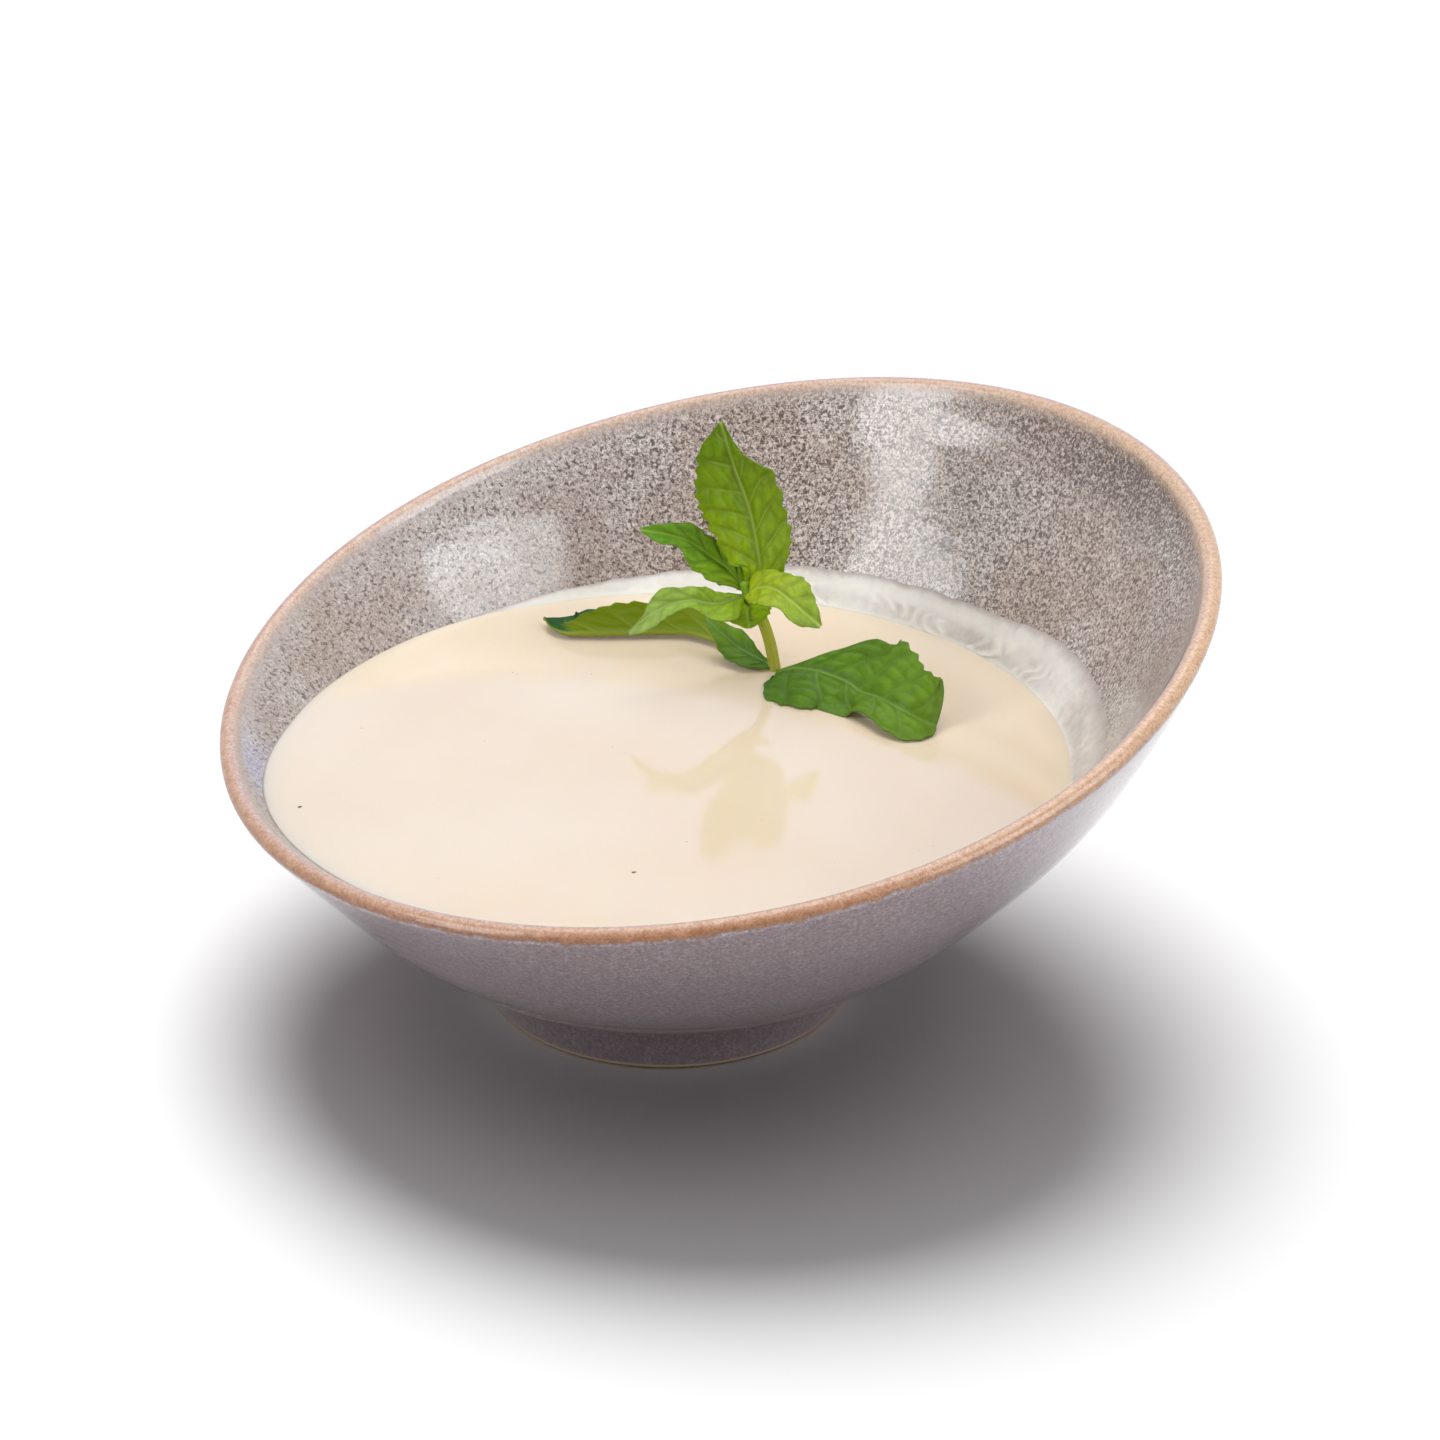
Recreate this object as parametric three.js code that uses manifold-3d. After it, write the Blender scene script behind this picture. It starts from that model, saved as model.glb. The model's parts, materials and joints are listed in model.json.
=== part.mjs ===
// A slanted stoneware bowl of tahini sauce with a sprig of mint standing in it.
// Millimetres, +Z up. The high side of the bowl faces +Y and its foot stands on z = 0.
// The bowl is turned on a vertical axis and its rim is cut on a slant, so every height of the wall is
// a circle, and only the rim's height changes as it goes round.
import * as THREE from "three";
import { mergeVertices } from "three/addons/utils/BufferGeometryUtils.js";
import Module from "manifold-3d";

const wasm = await Module();
wasm.setup();

// ---- Driving dimensions ------------------------------------------------------------------------
// The bowl's own axis, measured from the middle of the whole object's outline.
const BOWL_AXIS = [0, -9.85];

// The foot: a turned ring, slightly narrower at the table, with a shallow recess under it.
const FOOT_RADIUS = 33.5;
const FOOT_TOP_RADIUS = 35.6;
const FOOT_HEIGHT = 10.4;
const FOOT_RING_WIDTH = 5.5;
const FOOT_EDGE = 0.9;
const RECESS_DEPTH = 3.6;
const RECESS_SLOPE = 2.5;

// The outside of the wall: [height, radius] from the foot to the tallest part of the rim.
const WALL_OUTSIDE = [
  [FOOT_HEIGHT, FOOT_TOP_RADIUS],
  [14, 44.6],
  [20, 53.2],
  [36, 69],
  [54, 82.6],
  [75, 93.8],
  [86, 97.4],
  [96, 98],
];
const WALL_THICKNESS = 5;
const LIP_THICKNESS = 3.4;
const LIP_TAPER = 14; // the wall thins to the lip over this much height
const FLOOR_HEIGHT = 9.5; // top of the floor at the bowl's axis

// The top of the rim: its mean height and how it rises and sways round the bowl. The angle is
// measured from the high side; cosine terms are alike on both sides, sine terms lean to one side.
const RIM_MEAN_HEIGHT = 67.9;
const RIM_COSINES = [20.1, 2.1, 0.3];
const RIM_SINES = [-0.6, 0.15, -0.5];

// The sauce fills the bowl almost to the lowest part of its rim.
const SAUCE_LEVEL = 46.5;
const GAP = 0.35; // clearance between pieces that touch

// The sprig: where its stem leaves the sauce, measured from the bowl's axis, and how far it is
// turned. All its other sizes are measured from that point, x along the longest leaf.
const SPRIG_PLACE = [-15.6, 36.2];
const SPRIG_TURN = THREE.MathUtils.degToRad(53.8);
const STEM_RADIUS = 1.15;
const STEM_DEPTH = 7; // how deep the stem stands in the sauce
const STEM_SIDES = 8;
const LEAF_THICKNESS = 0.7;
const LEAF_END_WIDTH = 0.4; // half width of a leaf's edge at its stalk and tip
const LEAF_CLEARANCE = 1.1; // a lying leaf's upper face stays this far above the sauce
const LEAF_EASE = 0.5; // how softly a lying leaf's height levels out there
const TOOTH = 0.06; // a tooth's depth as a share of the half width

// The stem's path, from the middle of its hole in the sauce, and the straight hole that it needs.
const STEM_PATH = [[0.4, 0, -STEM_DEPTH], [0, 0, 0], [-2.4, 0, 10.5], [-5, 0, 15.8], [-5.8, 0.2, 18.4]];
const HOLE_PATH = [[0.4, 0, -STEM_DEPTH - GAP], [-0.1, 0, 2]];

// How finely the pieces are faceted.
const TURN_STEPS = 72; // round the bowl and the sauce
const WALL_ROWS = 12;
const FLOOR_RINGS = 4;
const LIP_ROWS = 6;
const LEAF_COLUMNS = 6;
const STEM_STEPS = 14;
const HOLE_STEPS = 4;
const ROW_CROWDING = 1.4; // above 1, rows are closer low down, where the wall curves most

// ---- Curves and solids ---------------------------------------------------------------------------
// A smooth curve y(x) through a few [x, y] points: a cubic between each two, whose slope at a point
// is the weighted mean of its neighbours' slopes.
function smoothCurve(points) {
  const slopes = points.slice(1).map(([x, y], i) => (y - points[i][1]) / (x - points[i][0]));
  const tangents = points.map((point, i) => {
    if (i === 0) return slopes[0];
    if (i === points.length - 1) return slopes[i - 1];
    const before = point[0] - points[i - 1][0];
    const after = points[i + 1][0] - point[0];
    return (slopes[i - 1] * after + slopes[i] * before) / (before + after);
  });
  return (x) => {
    let i = 0;
    while (i < points.length - 2 && x > points[i + 1][0]) i += 1;
    const width = points[i + 1][0] - points[i][0];
    const s = (x - points[i][0]) / width;
    const start = points[i][1] * (2 * s ** 3 - 3 * s ** 2 + 1);
    const end = points[i + 1][1] * (3 * s ** 2 - 2 * s ** 3);
    const leave = tangents[i] * width * (s ** 3 - 2 * s ** 2 + s);
    const arrive = tangents[i + 1] * width * (s ** 3 - s ** 2);
    return start + end + leave + arrive;
  };
}

// A closed body whose outline from the axis below to the axis above may differ at every angle.
// outlineAt(angle) gives [radius, height] points, all lists alike in length; the first and the last
// lie on the axis.
function turnedSolid(outlineAt) {
  const positions = [];
  const indices = [];
  const rings = Array.from({ length: TURN_STEPS }, (_, i) => {
    const angle = (i / TURN_STEPS) * 2 * Math.PI;
    return outlineAt(angle).map(([radius, height]) => [
      radius * Math.cos(angle),
      radius * Math.sin(angle),
      height,
    ]);
  });
  const rows = rings[0].length;
  positions.push(...rings[0][0], ...rings[0][rows - 1]);
  for (const ring of rings) positions.push(...ring.slice(1, rows - 1).flat());
  const vertex = (step, row) => {
    if (row === 0) return 0;
    if (row === rows - 1) return 1;
    return 2 + (step % TURN_STEPS) * (rows - 2) + row - 1;
  };
  for (let step = 0; step < TURN_STEPS; step += 1) {
    for (let row = 0; row < rows - 1; row += 1) {
      const [a, b] = [vertex(step, row), vertex(step + 1, row)];
      const [c, d] = [vertex(step + 1, row + 1), vertex(step, row + 1)];
      // Next to an axis point a facet is one triangle, elsewhere two.
      if (row > 0) indices.push(a, b, c);
      if (row < rows - 2) indices.push(a, c, d);
    }
  }
  const geometry = new THREE.BufferGeometry();
  geometry.setAttribute("position", new THREE.Float32BufferAttribute(positions, 3));
  geometry.setIndex(indices);
  return geometry;
}

function toManifold(geometry) {
  const bare = geometry.clone();
  bare.deleteAttribute("normal");
  bare.deleteAttribute("uv");
  const merged = mergeVertices(bare, 1e-4);
  return new wasm.Manifold(
    new wasm.Mesh({
      numProp: 3,
      vertProperties: new Float32Array(merged.attributes.position.array),
      triVerts: new Uint32Array(merged.index.array),
    }),
  );
}

function fromManifold(solid) {
  const mesh = solid.getMesh();
  const geometry = new THREE.BufferGeometry();
  geometry.setAttribute("position", new THREE.BufferAttribute(mesh.vertProperties, 3));
  geometry.setIndex(new THREE.BufferAttribute(mesh.triVerts, 1));
  geometry.computeVertexNormals();
  return geometry;
}

// ---- The bowl ------------------------------------------------------------------------------------
const outsideRadius = smoothCurve(WALL_OUTSIDE);

// How much the outside radius grows for each millimetre of height, over a short step.
function outsideSlope(height) {
  const step = 0.1;
  return (outsideRadius(height + step / 2) - outsideRadius(height - step / 2)) / step;
}

// Heights of the rows of facets between two heights.
function rowHeights(low, high) {
  return Array.from({ length: WALL_ROWS + 1 }, (_, i) => {
    return THREE.MathUtils.lerp(low, high, (i / WALL_ROWS) ** ROW_CROWDING);
  });
}

// Height of the top of the rim at an angle from +X: a mean height and three harmonics.
function rimHeight(angle) {
  const fromHighSide = angle - Math.PI / 2;
  return RIM_COSINES.reduce((height, cosine, i) => {
    const turn = (i + 1) * fromHighSide;
    return height + cosine * Math.cos(turn) + RIM_SINES[i] * Math.sin(turn);
  }, RIM_MEAN_HEIGHT);
}

// The wall's outward direction [radial, vertical] at a height of its outside.
function outward(height) {
  const slope = outsideSlope(height);
  const length = Math.hypot(1, slope);
  return [1 / length, -slope / length];
}

// Height of the outside of the wall where the lip starts to round over, so that the round of the
// lip just reaches the rim's height.
function lipStart(angle) {
  const half = LIP_THICKNESS / 2;
  const top = rimHeight(angle);
  return top - half - half * Math.abs(outward(top - LIP_THICKNESS)[1]);
}

// The point of the inside of the wall that faces a height of its outside, square to the wall.
function insidePoint(height, lipHeight) {
  const taper = THREE.MathUtils.smoothstep(lipHeight - height, 0, LIP_TAPER);
  const thickness = THREE.MathUtils.lerp(LIP_THICKNESS, WALL_THICKNESS, taper);
  const [radial, vertical] = outward(height);
  return [outsideRadius(height) - thickness * radial, height - thickness * vertical];
}

// The inside of the wall starts level with this height of its outside, where the floor ends.
const INSIDE_START = FOOT_HEIGHT + 2;
const INSIDE_FOOT = insidePoint(INSIDE_START, INSIDE_START + LIP_TAPER);

// The floor is a shallow dish: its height grows with the square of the radius.
function floorHeight(radius) {
  const rise = INSIDE_FOOT[1] - FLOOR_HEIGHT;
  return FLOOR_HEIGHT + rise * (radius / INSIDE_FOOT[0]) ** 2;
}

function bowlOutline(angle) {
  const ringInside = FOOT_RADIUS - FOOT_RING_WIDTH;
  const top = lipStart(angle);
  const outline = [
    [0, RECESS_DEPTH],
    [ringInside - RECESS_SLOPE, RECESS_DEPTH],
    [ringInside, 0],
    [FOOT_RADIUS - FOOT_EDGE, 0],
    [FOOT_RADIUS, FOOT_EDGE],
  ];
  for (const height of rowHeights(FOOT_HEIGHT, top)) outline.push([outsideRadius(height), height]);
  // The lip is half a round bar as thick as the wall there.
  const half = LIP_THICKNESS / 2;
  const [radial, vertical] = outward(top);
  const centre = [outsideRadius(top) - half * radial, top - half * vertical];
  for (let i = 1; i < LIP_ROWS; i += 1) {
    const turn = (i / LIP_ROWS) * Math.PI;
    const [across, along] = [half * Math.cos(turn), half * Math.sin(turn)];
    outline.push([
      centre[0] + across * radial - along * vertical,
      centre[1] + across * vertical + along * radial,
    ]);
  }
  for (const height of rowHeights(INSIDE_START, top).reverse()) outline.push(insidePoint(height, top));
  for (let ring = FLOOR_RINGS - 1; ring >= 0; ring -= 1) {
    const radius = (ring / FLOOR_RINGS) * INSIDE_FOOT[0];
    outline.push([radius, floorHeight(radius)]);
  }
  return outline;
}

// ---- The sauce -----------------------------------------------------------------------------------
// Inside of the wall at a height: the facing height of the outside is found by halving a bracket.
function insideRadius(angle, height) {
  const lipHeight = lipStart(angle);
  const halvings = 40;
  let [low, high] = [INSIDE_START, lipHeight];
  for (let i = 0; i < halvings; i += 1) {
    const middle = (low + high) / 2;
    if (insidePoint(middle, lipHeight)[1] < height) low = middle;
    else high = middle;
  }
  return insidePoint(low, lipHeight)[0];
}

// The sauce lies one gap inside the bowl all the way up to its level top.
function sauceOutline(angle) {
  const outline = [];
  for (let ring = 0; ring < FLOOR_RINGS; ring += 1) {
    const radius = (ring / FLOOR_RINGS) * (INSIDE_FOOT[0] - GAP);
    outline.push([radius, floorHeight(radius) + GAP]);
  }
  for (const height of rowHeights(INSIDE_FOOT[1] + 2 * GAP, SAUCE_LEVEL)) {
    outline.push([insideRadius(angle, height - GAP) - GAP, height]);
  }
  const edge = outline[outline.length - 1][0];
  outline.push([edge / 2, SAUCE_LEVEL], [0, SAUCE_LEVEL]);
  return outline;
}

// ---- The mint sprig ------------------------------------------------------------------------------
// Each leaf is told by its rib, the points that its middle runs through from stem to tip; the way
// its upper face looks at equal steps from base to tip; its two half widths at equal steps, left
// and right being as seen from the stalk with the upper face up; how far each half is folded up
// from the rib, in degrees; its number of teeth; and how far the base lobes reach back past the
// stem.
const LEAVES = [
  {
    // The young top leaf stands up.
    rib: [[-5.6, 0, 17], [-3.1, 1, 20.8], [-3.5, 2.4, 24.5], [-5, 5, 31.3],
      [-7.8, 7, 38.9], [-10.3, 8, 47.3]],
    faces: [[0, -1, 0.2], [-0.1, -1, 0.3]],
    left: [1.8, 4.4, 6.6, 8.2, 8.8, 8.4, 7, 5.2],
    right: [3.9, 6.8, 7.8, 7.5, 7.8, 7.2, 3.4, 1.4],
    folds: [12, 30],
    teeth: 11,
  },
  {
    // Its pair reaches out level to the left.
    rib: [[-5.8, 0, 17], [-8.4, 2, 19.8], [-12.3, 4, 22.2], [-16.8, 5, 25],
      [-20.9, 6, 25.8], [-25.2, 6, 26.6]],
    faces: [[0, -0.8, 0.6], [0, -0.9, 0.4]],
    left: [3.6, 4.2, 4, 1.9, 2],
    right: [2.6, 3.4, 3.1, 3.1, 1.9],
    folds: [15, 25],
    teeth: 9,
  },
  {
    // A soft leaf of the pair below arches over and hangs.
    rib: [[-6, 0, 15.6], [-11.5, -3, 15.6], [-16, -6, 17.6], [-20.8, -8, 17.2],
      [-24.3, -10, 15.4], [-27.3, -10, 12.5]],
    faces: [[0, -0.5, 0.85], [-0.2, -0.8, 0.5], [-0.6, -0.6, 0.2]],
    left: [5.2, 3.2, 1.6, 2.3, 2.6],
    right: [2, 2.6, 2.5, 2.9, 0.9],
    folds: [15, 20],
    teeth: 9,
  },
  {
    // The other leaf of that pair folds forward over the stem.
    rib: [[-5.9, 0, 16], [-3.5, -3, 18.7], [-0.6, -7, 20.4], [2.5, -11, 19.8],
      [5.2, -12.5, 17.9], [8.1, -13, 15.3]],
    faces: [[0, -0.6, 0.8], [0.1, -0.8, 0.5], [0.4, -0.9, 0.1]],
    left: [2.9, 3.4, 3.7, 4.6, 2.9],
    right: [3, 4.2, 4.6, 2.8, 3],
    folds: [10, 15],
    teeth: 8,
  },
  {
    // A bud leaf just under the joint.
    rib: [[-5, 0, 15], [-5.2, -3, 13.2], [-5, -4, 10.8]],
    faces: [[0, -0.8, 0.6], [0, -1, 0.2]],
    left: [3.6, 4.2, 3.2],
    right: [3.6, 4.4, 3.4],
    folds: [10, 10],
    teeth: 5,
  },
  {
    // The longest leaf lies on the sauce, folded lengthwise with its rib towards the front. Its left
    // half stands up and stops short of the tip, where the right half behind it shows.
    rib: [[-0.3, 0, 1.1], [-6.6, 6.6, 1.1], [-12.5, 12.3, 1.2], [-16.2, 14.2, 1.4], [-21.2, 14.8, 1.3],
      [-28, 14.6, 1.2], [-35.5, 14.3, 1.2], [-40.1, 14.6, 1.2], [-42.5, 16.4, 1.2], [-44.6, 21.3, 1.3]],
    faces: [[-0.3, 1, 0.1], [0, 1, 0.1], [0, 1, 0.1]],
    left: [3, 3.8, 5, 6.3, 6.2, 5, 1.6],
    right: [3, 5.5, 6.6, 6.8, 6.6, 6.4, 5.2],
    folds: [50, 106],
    teeth: 12,
  },
  {
    // A small dark leaf in front of its base.
    rib: [[-0.4, -0.3, 1.1], [-7, 5.2, 3], [-13.1, 9.3, 7]],
    faces: [[0.3, -0.7, 0.7], [0.3, -0.7, 0.7]],
    left: [3.3, 4, 3.7, 2],
    right: [0.9, 1.6, 2.2, 1.3],
    folds: [10, 20],
    teeth: 6,
  },
  {
    // The broad leaf on the other side lies on the sauce and humps towards its blunt tip.
    rib: [[0.4, -0.1, 1.2], [5.2, -2.9, 2.4], [7.8, -4.6, 3], [12, -10, 3.6], [15.4, -14.5, 3.4],
      [18.3, -18.2, 3.6], [23.2, -23.8, 3.6], [27, -25.6, 2.4], [29.9, -26.3, 1.3]],
    faces: [[-0.1, -0.2, 1], [-0.1, -0.3, 0.95], [0, -0.55, 0.8]],
    left: [1.2, 5, 9.6, 12.8, 12.4, 10.8, 9.6, 9],
    right: [10.5, 13.6, 13.2, 10.6, 7.8, 6.4, 6.6, 7.4],
    folds: [10, -3],
    teeth: 10,
    lobes: 4,
  },
];

// A smooth path through points, told by the share of its length, with its position and direction.
function ribAt(points) {
  const lengths = points.map(() => 0);
  for (let i = 1; i < points.length; i += 1) {
    lengths[i] = lengths[i - 1] + Math.hypot(...points[i].map((value, k) => value - points[i - 1][k]));
  }
  const total = lengths[lengths.length - 1];
  const axes = [0, 1, 2].map((k) => smoothCurve(points.map((point, i) => [lengths[i] / total, point[k]])));
  const at = (t) => new THREE.Vector3(...axes.map((axis) => axis(t)));
  const step = 0.02;
  const heading = (t) => at(Math.min(t + step, 1)).sub(at(Math.max(t - step, 0))).normalize();
  return { at, heading };
}

// The way the upper face looks at a share of the rib, between the given directions.
function faceAt(faces, t) {
  const place = t * (faces.length - 1);
  const i = Math.min(Math.floor(place), faces.length - 2);
  const start = new THREE.Vector3(...faces[i]).normalize();
  return start.lerp(new THREE.Vector3(...faces[i + 1]).normalize(), place - i);
}

// A leaf's half width from base to tip, a smooth curve through the widths given at equal steps.
function halfWidth(widths) {
  const all = [LEAF_END_WIDTH, ...widths, LEAF_END_WIDTH];
  return smoothCurve(all.map((width, i) => [i / (all.length - 1), width]));
}

// A lying leaf sags onto the sauce: its height is eased up to the clearance, never below it.
function easedUp(height) {
  const over = height - LEAF_CLEARANCE;
  return LEAF_CLEARANCE + (over + Math.hypot(over, LEAF_EASE)) / 2;
}

// A point of the upper face: t runs from base to tip and v from the left edge, -1, to the right, 1.
// Only the outer part of the leaf is toothed, and the base lobes fade out along it.
function leafPoint(leaf, path, t, v) {
  const side = v > 0 ? 1 : 0;
  const out = Math.abs(v);
  const along = path.heading(t);
  const up = faceAt(leaf.faces, t);
  up.addScaledVector(along, -up.dot(along)).normalize();
  const across = new THREE.Vector3().crossVectors(along, up);
  const tooth = 1 + TOOTH * (1 - 4 * Math.abs(((leaf.teeth * t) % 1) - 0.5)) * out ** 6;
  const width = Math.max(path.halves[side](t), LEAF_END_WIDTH) * tooth * out;
  const fold = THREE.MathUtils.degToRad(leaf.folds[side]);
  const point = path.at(t);
  point.addScaledVector(across, Math.sign(v) * width * Math.cos(fold));
  point.addScaledVector(up, width * Math.sin(fold));
  point.addScaledVector(along, -(leaf.lobes ?? 0) * (1 - t) ** 4 * out);
  point.z = easedUp(point.z);
  return point;
}

// A leaf is its upper face and a lower face one thickness under it, split into the same triangles
// and joined round the edge.
function leafSolid(leaf) {
  const path = { ...ribAt(leaf.rib), halves: [halfWidth(leaf.left), halfWidth(leaf.right)] };
  const rows = 2 * leaf.teeth;
  const columns = LEAF_COLUMNS;
  const step = 0.04; // share of the leaf over which its slope is measured
  const upper = [];
  const lower = [];
  for (let row = 0; row <= rows; row += 1) {
    for (let column = 0; column <= columns; column += 1) {
      const t = row / rows;
      const v = (2 * column) / columns - 1;
      const point = leafPoint(leaf, path, t, v);
      const downRib = leafPoint(leaf, path, Math.min(t + step, 1), v);
      downRib.sub(leafPoint(leaf, path, Math.max(t - step, 0), v));
      const rightward = leafPoint(leaf, path, t, Math.min(v + step, 1));
      rightward.sub(leafPoint(leaf, path, t, Math.max(v - step, -1)));
      const normal = new THREE.Vector3().crossVectors(rightward, downRib).normalize();
      upper.push(point);
      lower.push(point.clone().addScaledVector(normal, -LEAF_THICKNESS));
    }
  }
  const positions = [...upper, ...lower].flatMap((point) => point.toArray());
  const vertex = (row, column) => row * (columns + 1) + column;
  const indices = [];
  for (let row = 0; row < rows; row += 1) {
    for (let column = 0; column < columns; column += 1) {
      const [a, b] = [vertex(row, column), vertex(row, column + 1)];
      const [c, d] = [vertex(row + 1, column + 1), vertex(row + 1, column)];
      indices.push(a, b, c, a, c, d);
      const below = upper.length;
      indices.push(a + below, c + below, b + below, a + below, d + below, c + below);
    }
  }
  const rim = [];
  for (let column = 0; column < columns; column += 1) rim.push(vertex(0, column));
  for (let row = 0; row < rows; row += 1) rim.push(vertex(row, columns));
  for (let column = columns; column > 0; column -= 1) rim.push(vertex(rows, column));
  for (let row = rows; row > 0; row -= 1) rim.push(vertex(row, 0));
  rim.forEach((here, i) => {
    const next = rim[(i + 1) % rim.length];
    const below = upper.length;
    indices.push(here, here + below, next + below, here, next + below, next);
  });
  const geometry = new THREE.BufferGeometry();
  geometry.setAttribute("position", new THREE.Float32BufferAttribute(positions, 3));
  geometry.setIndex(indices);
  return toManifold(geometry);
}

// A round bar along a path.
function barSolid(radius, points, steps) {
  const path = new THREE.CatmullRomCurve3(points.map((point) => new THREE.Vector3(...point)));
  const section = new THREE.Shape();
  for (let i = 0; i < STEM_SIDES; i += 1) {
    const turn = ((i + 0.5) / STEM_SIDES) * 2 * Math.PI;
    const corner = [radius * Math.cos(turn), radius * Math.sin(turn)];
    if (i === 0) section.moveTo(...corner);
    else section.lineTo(...corner);
  }
  section.closePath();
  return toManifold(new THREE.ExtrudeGeometry(section, { steps, extrudePath: path }));
}

function sprigSolid() {
  const stem = barSolid(STEM_RADIUS, STEM_PATH, STEM_STEPS);
  return LEAVES.reduce((sprig, leaf) => sprig.add(leafSolid(leaf)), stem);
}

// The sauce is cut round the stem that stands in it.
function sauceSolid() {
  const hole = barSolid(STEM_RADIUS + GAP, HOLE_PATH, HOLE_STEPS)
    .rotate([0, 0, THREE.MathUtils.radToDeg(SPRIG_TURN)])
    .translate([...SPRIG_PLACE, SAUCE_LEVEL]);
  return toManifold(turnedSolid(sauceOutline)).subtract(hole);
}

// ---- The object ----------------------------------------------------------------------------------
const stoneware = new THREE.MeshStandardMaterial({ color: "#8f8486", roughness: 0.35, metalness: 0 });
const tahini = new THREE.MeshStandardMaterial({ color: "#f2e4d3", roughness: 0.3, metalness: 0 });
const mint = new THREE.MeshStandardMaterial({ color: "#5c8a1e", roughness: 0.45, metalness: 0 });

function namedMesh(name, geometry, material) {
  const mesh = new THREE.Mesh(geometry, material);
  mesh.name = name;
  return mesh;
}

const dish = new THREE.Group();
dish.position.set(...BOWL_AXIS, 0);
dish.add(namedMesh("bowl", fromManifold(toManifold(turnedSolid(bowlOutline))), stoneware));
dish.add(namedMesh("sauce", fromManifold(sauceSolid()), tahini));

const garnish = new THREE.Group();
garnish.position.set(...SPRIG_PLACE, SAUCE_LEVEL);
garnish.rotation.z = SPRIG_TURN;
garnish.add(namedMesh("mint_sprig", fromManifold(sprigSolid()), mint));
dish.add(garnish);

const object = new THREE.Group();
object.add(dish);
export default object;
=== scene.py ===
"""A slanted stoneware bowl of tahini sauce with a sprig of mint standing in it.

Each section makes one piece of the real thing, as a surface worked out with numpy in millimetres,
and its material. The bowl's high side faces +Y and its foot stands on z = 0.
"""

import json
import math

import bpy
import numpy as np
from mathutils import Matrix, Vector

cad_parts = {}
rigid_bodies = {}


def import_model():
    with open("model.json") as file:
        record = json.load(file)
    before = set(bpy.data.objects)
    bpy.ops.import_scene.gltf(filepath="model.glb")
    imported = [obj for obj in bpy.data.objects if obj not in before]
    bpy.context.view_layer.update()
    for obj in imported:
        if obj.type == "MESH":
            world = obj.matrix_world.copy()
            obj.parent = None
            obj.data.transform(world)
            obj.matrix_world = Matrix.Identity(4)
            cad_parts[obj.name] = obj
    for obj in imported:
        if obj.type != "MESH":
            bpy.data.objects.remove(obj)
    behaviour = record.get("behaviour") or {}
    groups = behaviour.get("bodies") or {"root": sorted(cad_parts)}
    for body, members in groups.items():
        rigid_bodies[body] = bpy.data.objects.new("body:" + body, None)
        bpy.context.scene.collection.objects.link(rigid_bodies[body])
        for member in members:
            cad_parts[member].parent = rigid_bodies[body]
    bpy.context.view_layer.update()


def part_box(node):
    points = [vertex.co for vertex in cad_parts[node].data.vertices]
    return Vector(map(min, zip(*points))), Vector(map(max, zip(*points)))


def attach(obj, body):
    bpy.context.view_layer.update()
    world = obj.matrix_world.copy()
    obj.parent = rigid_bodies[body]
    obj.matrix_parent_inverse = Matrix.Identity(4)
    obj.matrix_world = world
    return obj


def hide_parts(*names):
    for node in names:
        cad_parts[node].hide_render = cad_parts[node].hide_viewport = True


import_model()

# ---- The bowl ------------------------------------------------------------------------------------
# A wheel-thrown stoneware bowl, turned on an upright axis, whose rim was cut on a slant before it was
# fired: every height of the wall is a circle, and the rim's height changes as it goes round. It is
# glazed all over but for the ring that it stands on.
MM = 0.001
BOWL_AXIS = (0.0, -9.85)  # the wheel's axis; the rim's outline is centred on the origin

FOOT_RADIUS = 33.5
FOOT_TOP_RADIUS = 35.6
FOOT_HEIGHT = 10.4
FOOT_RING_WIDTH = 5.5
FOOT_EDGE = 0.9
FOOT_FILLET = 2.0  # how far the glaze fills the corner between the foot and the wall
RECESS_DEPTH = 3.6
RECESS_SLOPE = 2.5
WALL_HEIGHTS = [FOOT_HEIGHT, 14, 20, 36, 54, 75, 86, 96]
WALL_RADII = [FOOT_TOP_RADIUS, 44.6, 53.2, 69, 82.6, 93.8, 97.4, 98]
WALL_THICKNESS = 5
LIP_THICKNESS = 3.4
LIP_TAPER = 14
FLOOR_HEIGHT = 9.5
INSIDE_START = FOOT_HEIGHT + 2
RIM_MEAN_HEIGHT = 67.9
RIM_COSINES = [20.1, 2.1, 0.3]
RIM_SINES = [-0.6, 0.15, -0.5]
BOWL_STEPS = 336
WALL_ROWS = 96
LIP_ROWS = 14


def smooth_curve(places, values):
    """A smooth curve through points: a cubic between each two, whose slope at a point is the mean of
    the slopes beside it, each weighted by the other one's width. Values are numbers or 3-D points."""
    places = np.array(places, float)
    values = np.array(values, float)
    columns = values.reshape(len(places), -1)
    widths = np.diff(places)[:, None]
    slopes = np.diff(columns, axis=0) / widths
    middle = (slopes[:-1] * widths[1:] + slopes[1:] * widths[:-1]) / (widths[1:] + widths[:-1])
    tangents = np.concatenate([slopes[:1], middle, slopes[-1:]])

    def at(x):
        x = np.asarray(x, float)
        i = np.clip(np.searchsorted(places, x, side="right") - 1, 0, len(places) - 2)
        width = widths[i]
        s = (x - places[i])[..., None] / width
        leaving = (2 * s**3 - 3 * s**2 + 1) * columns[i] + (s**3 - 2 * s**2 + s) * width * tangents[i]
        arriving = (3 * s**2 - 2 * s**3) * columns[i + 1] + (s**3 - s**2) * width * tangents[i + 1]
        return (leaving + arriving).reshape(x.shape + values.shape[1:])

    return at


def smoothstep(x, low, high):
    """0 below low, 1 above high, and 3s^2 - 2s^3 between them."""
    s = np.clip((x - low) / (high - low), 0, 1)
    return s * s * (3 - 2 * s)


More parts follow.
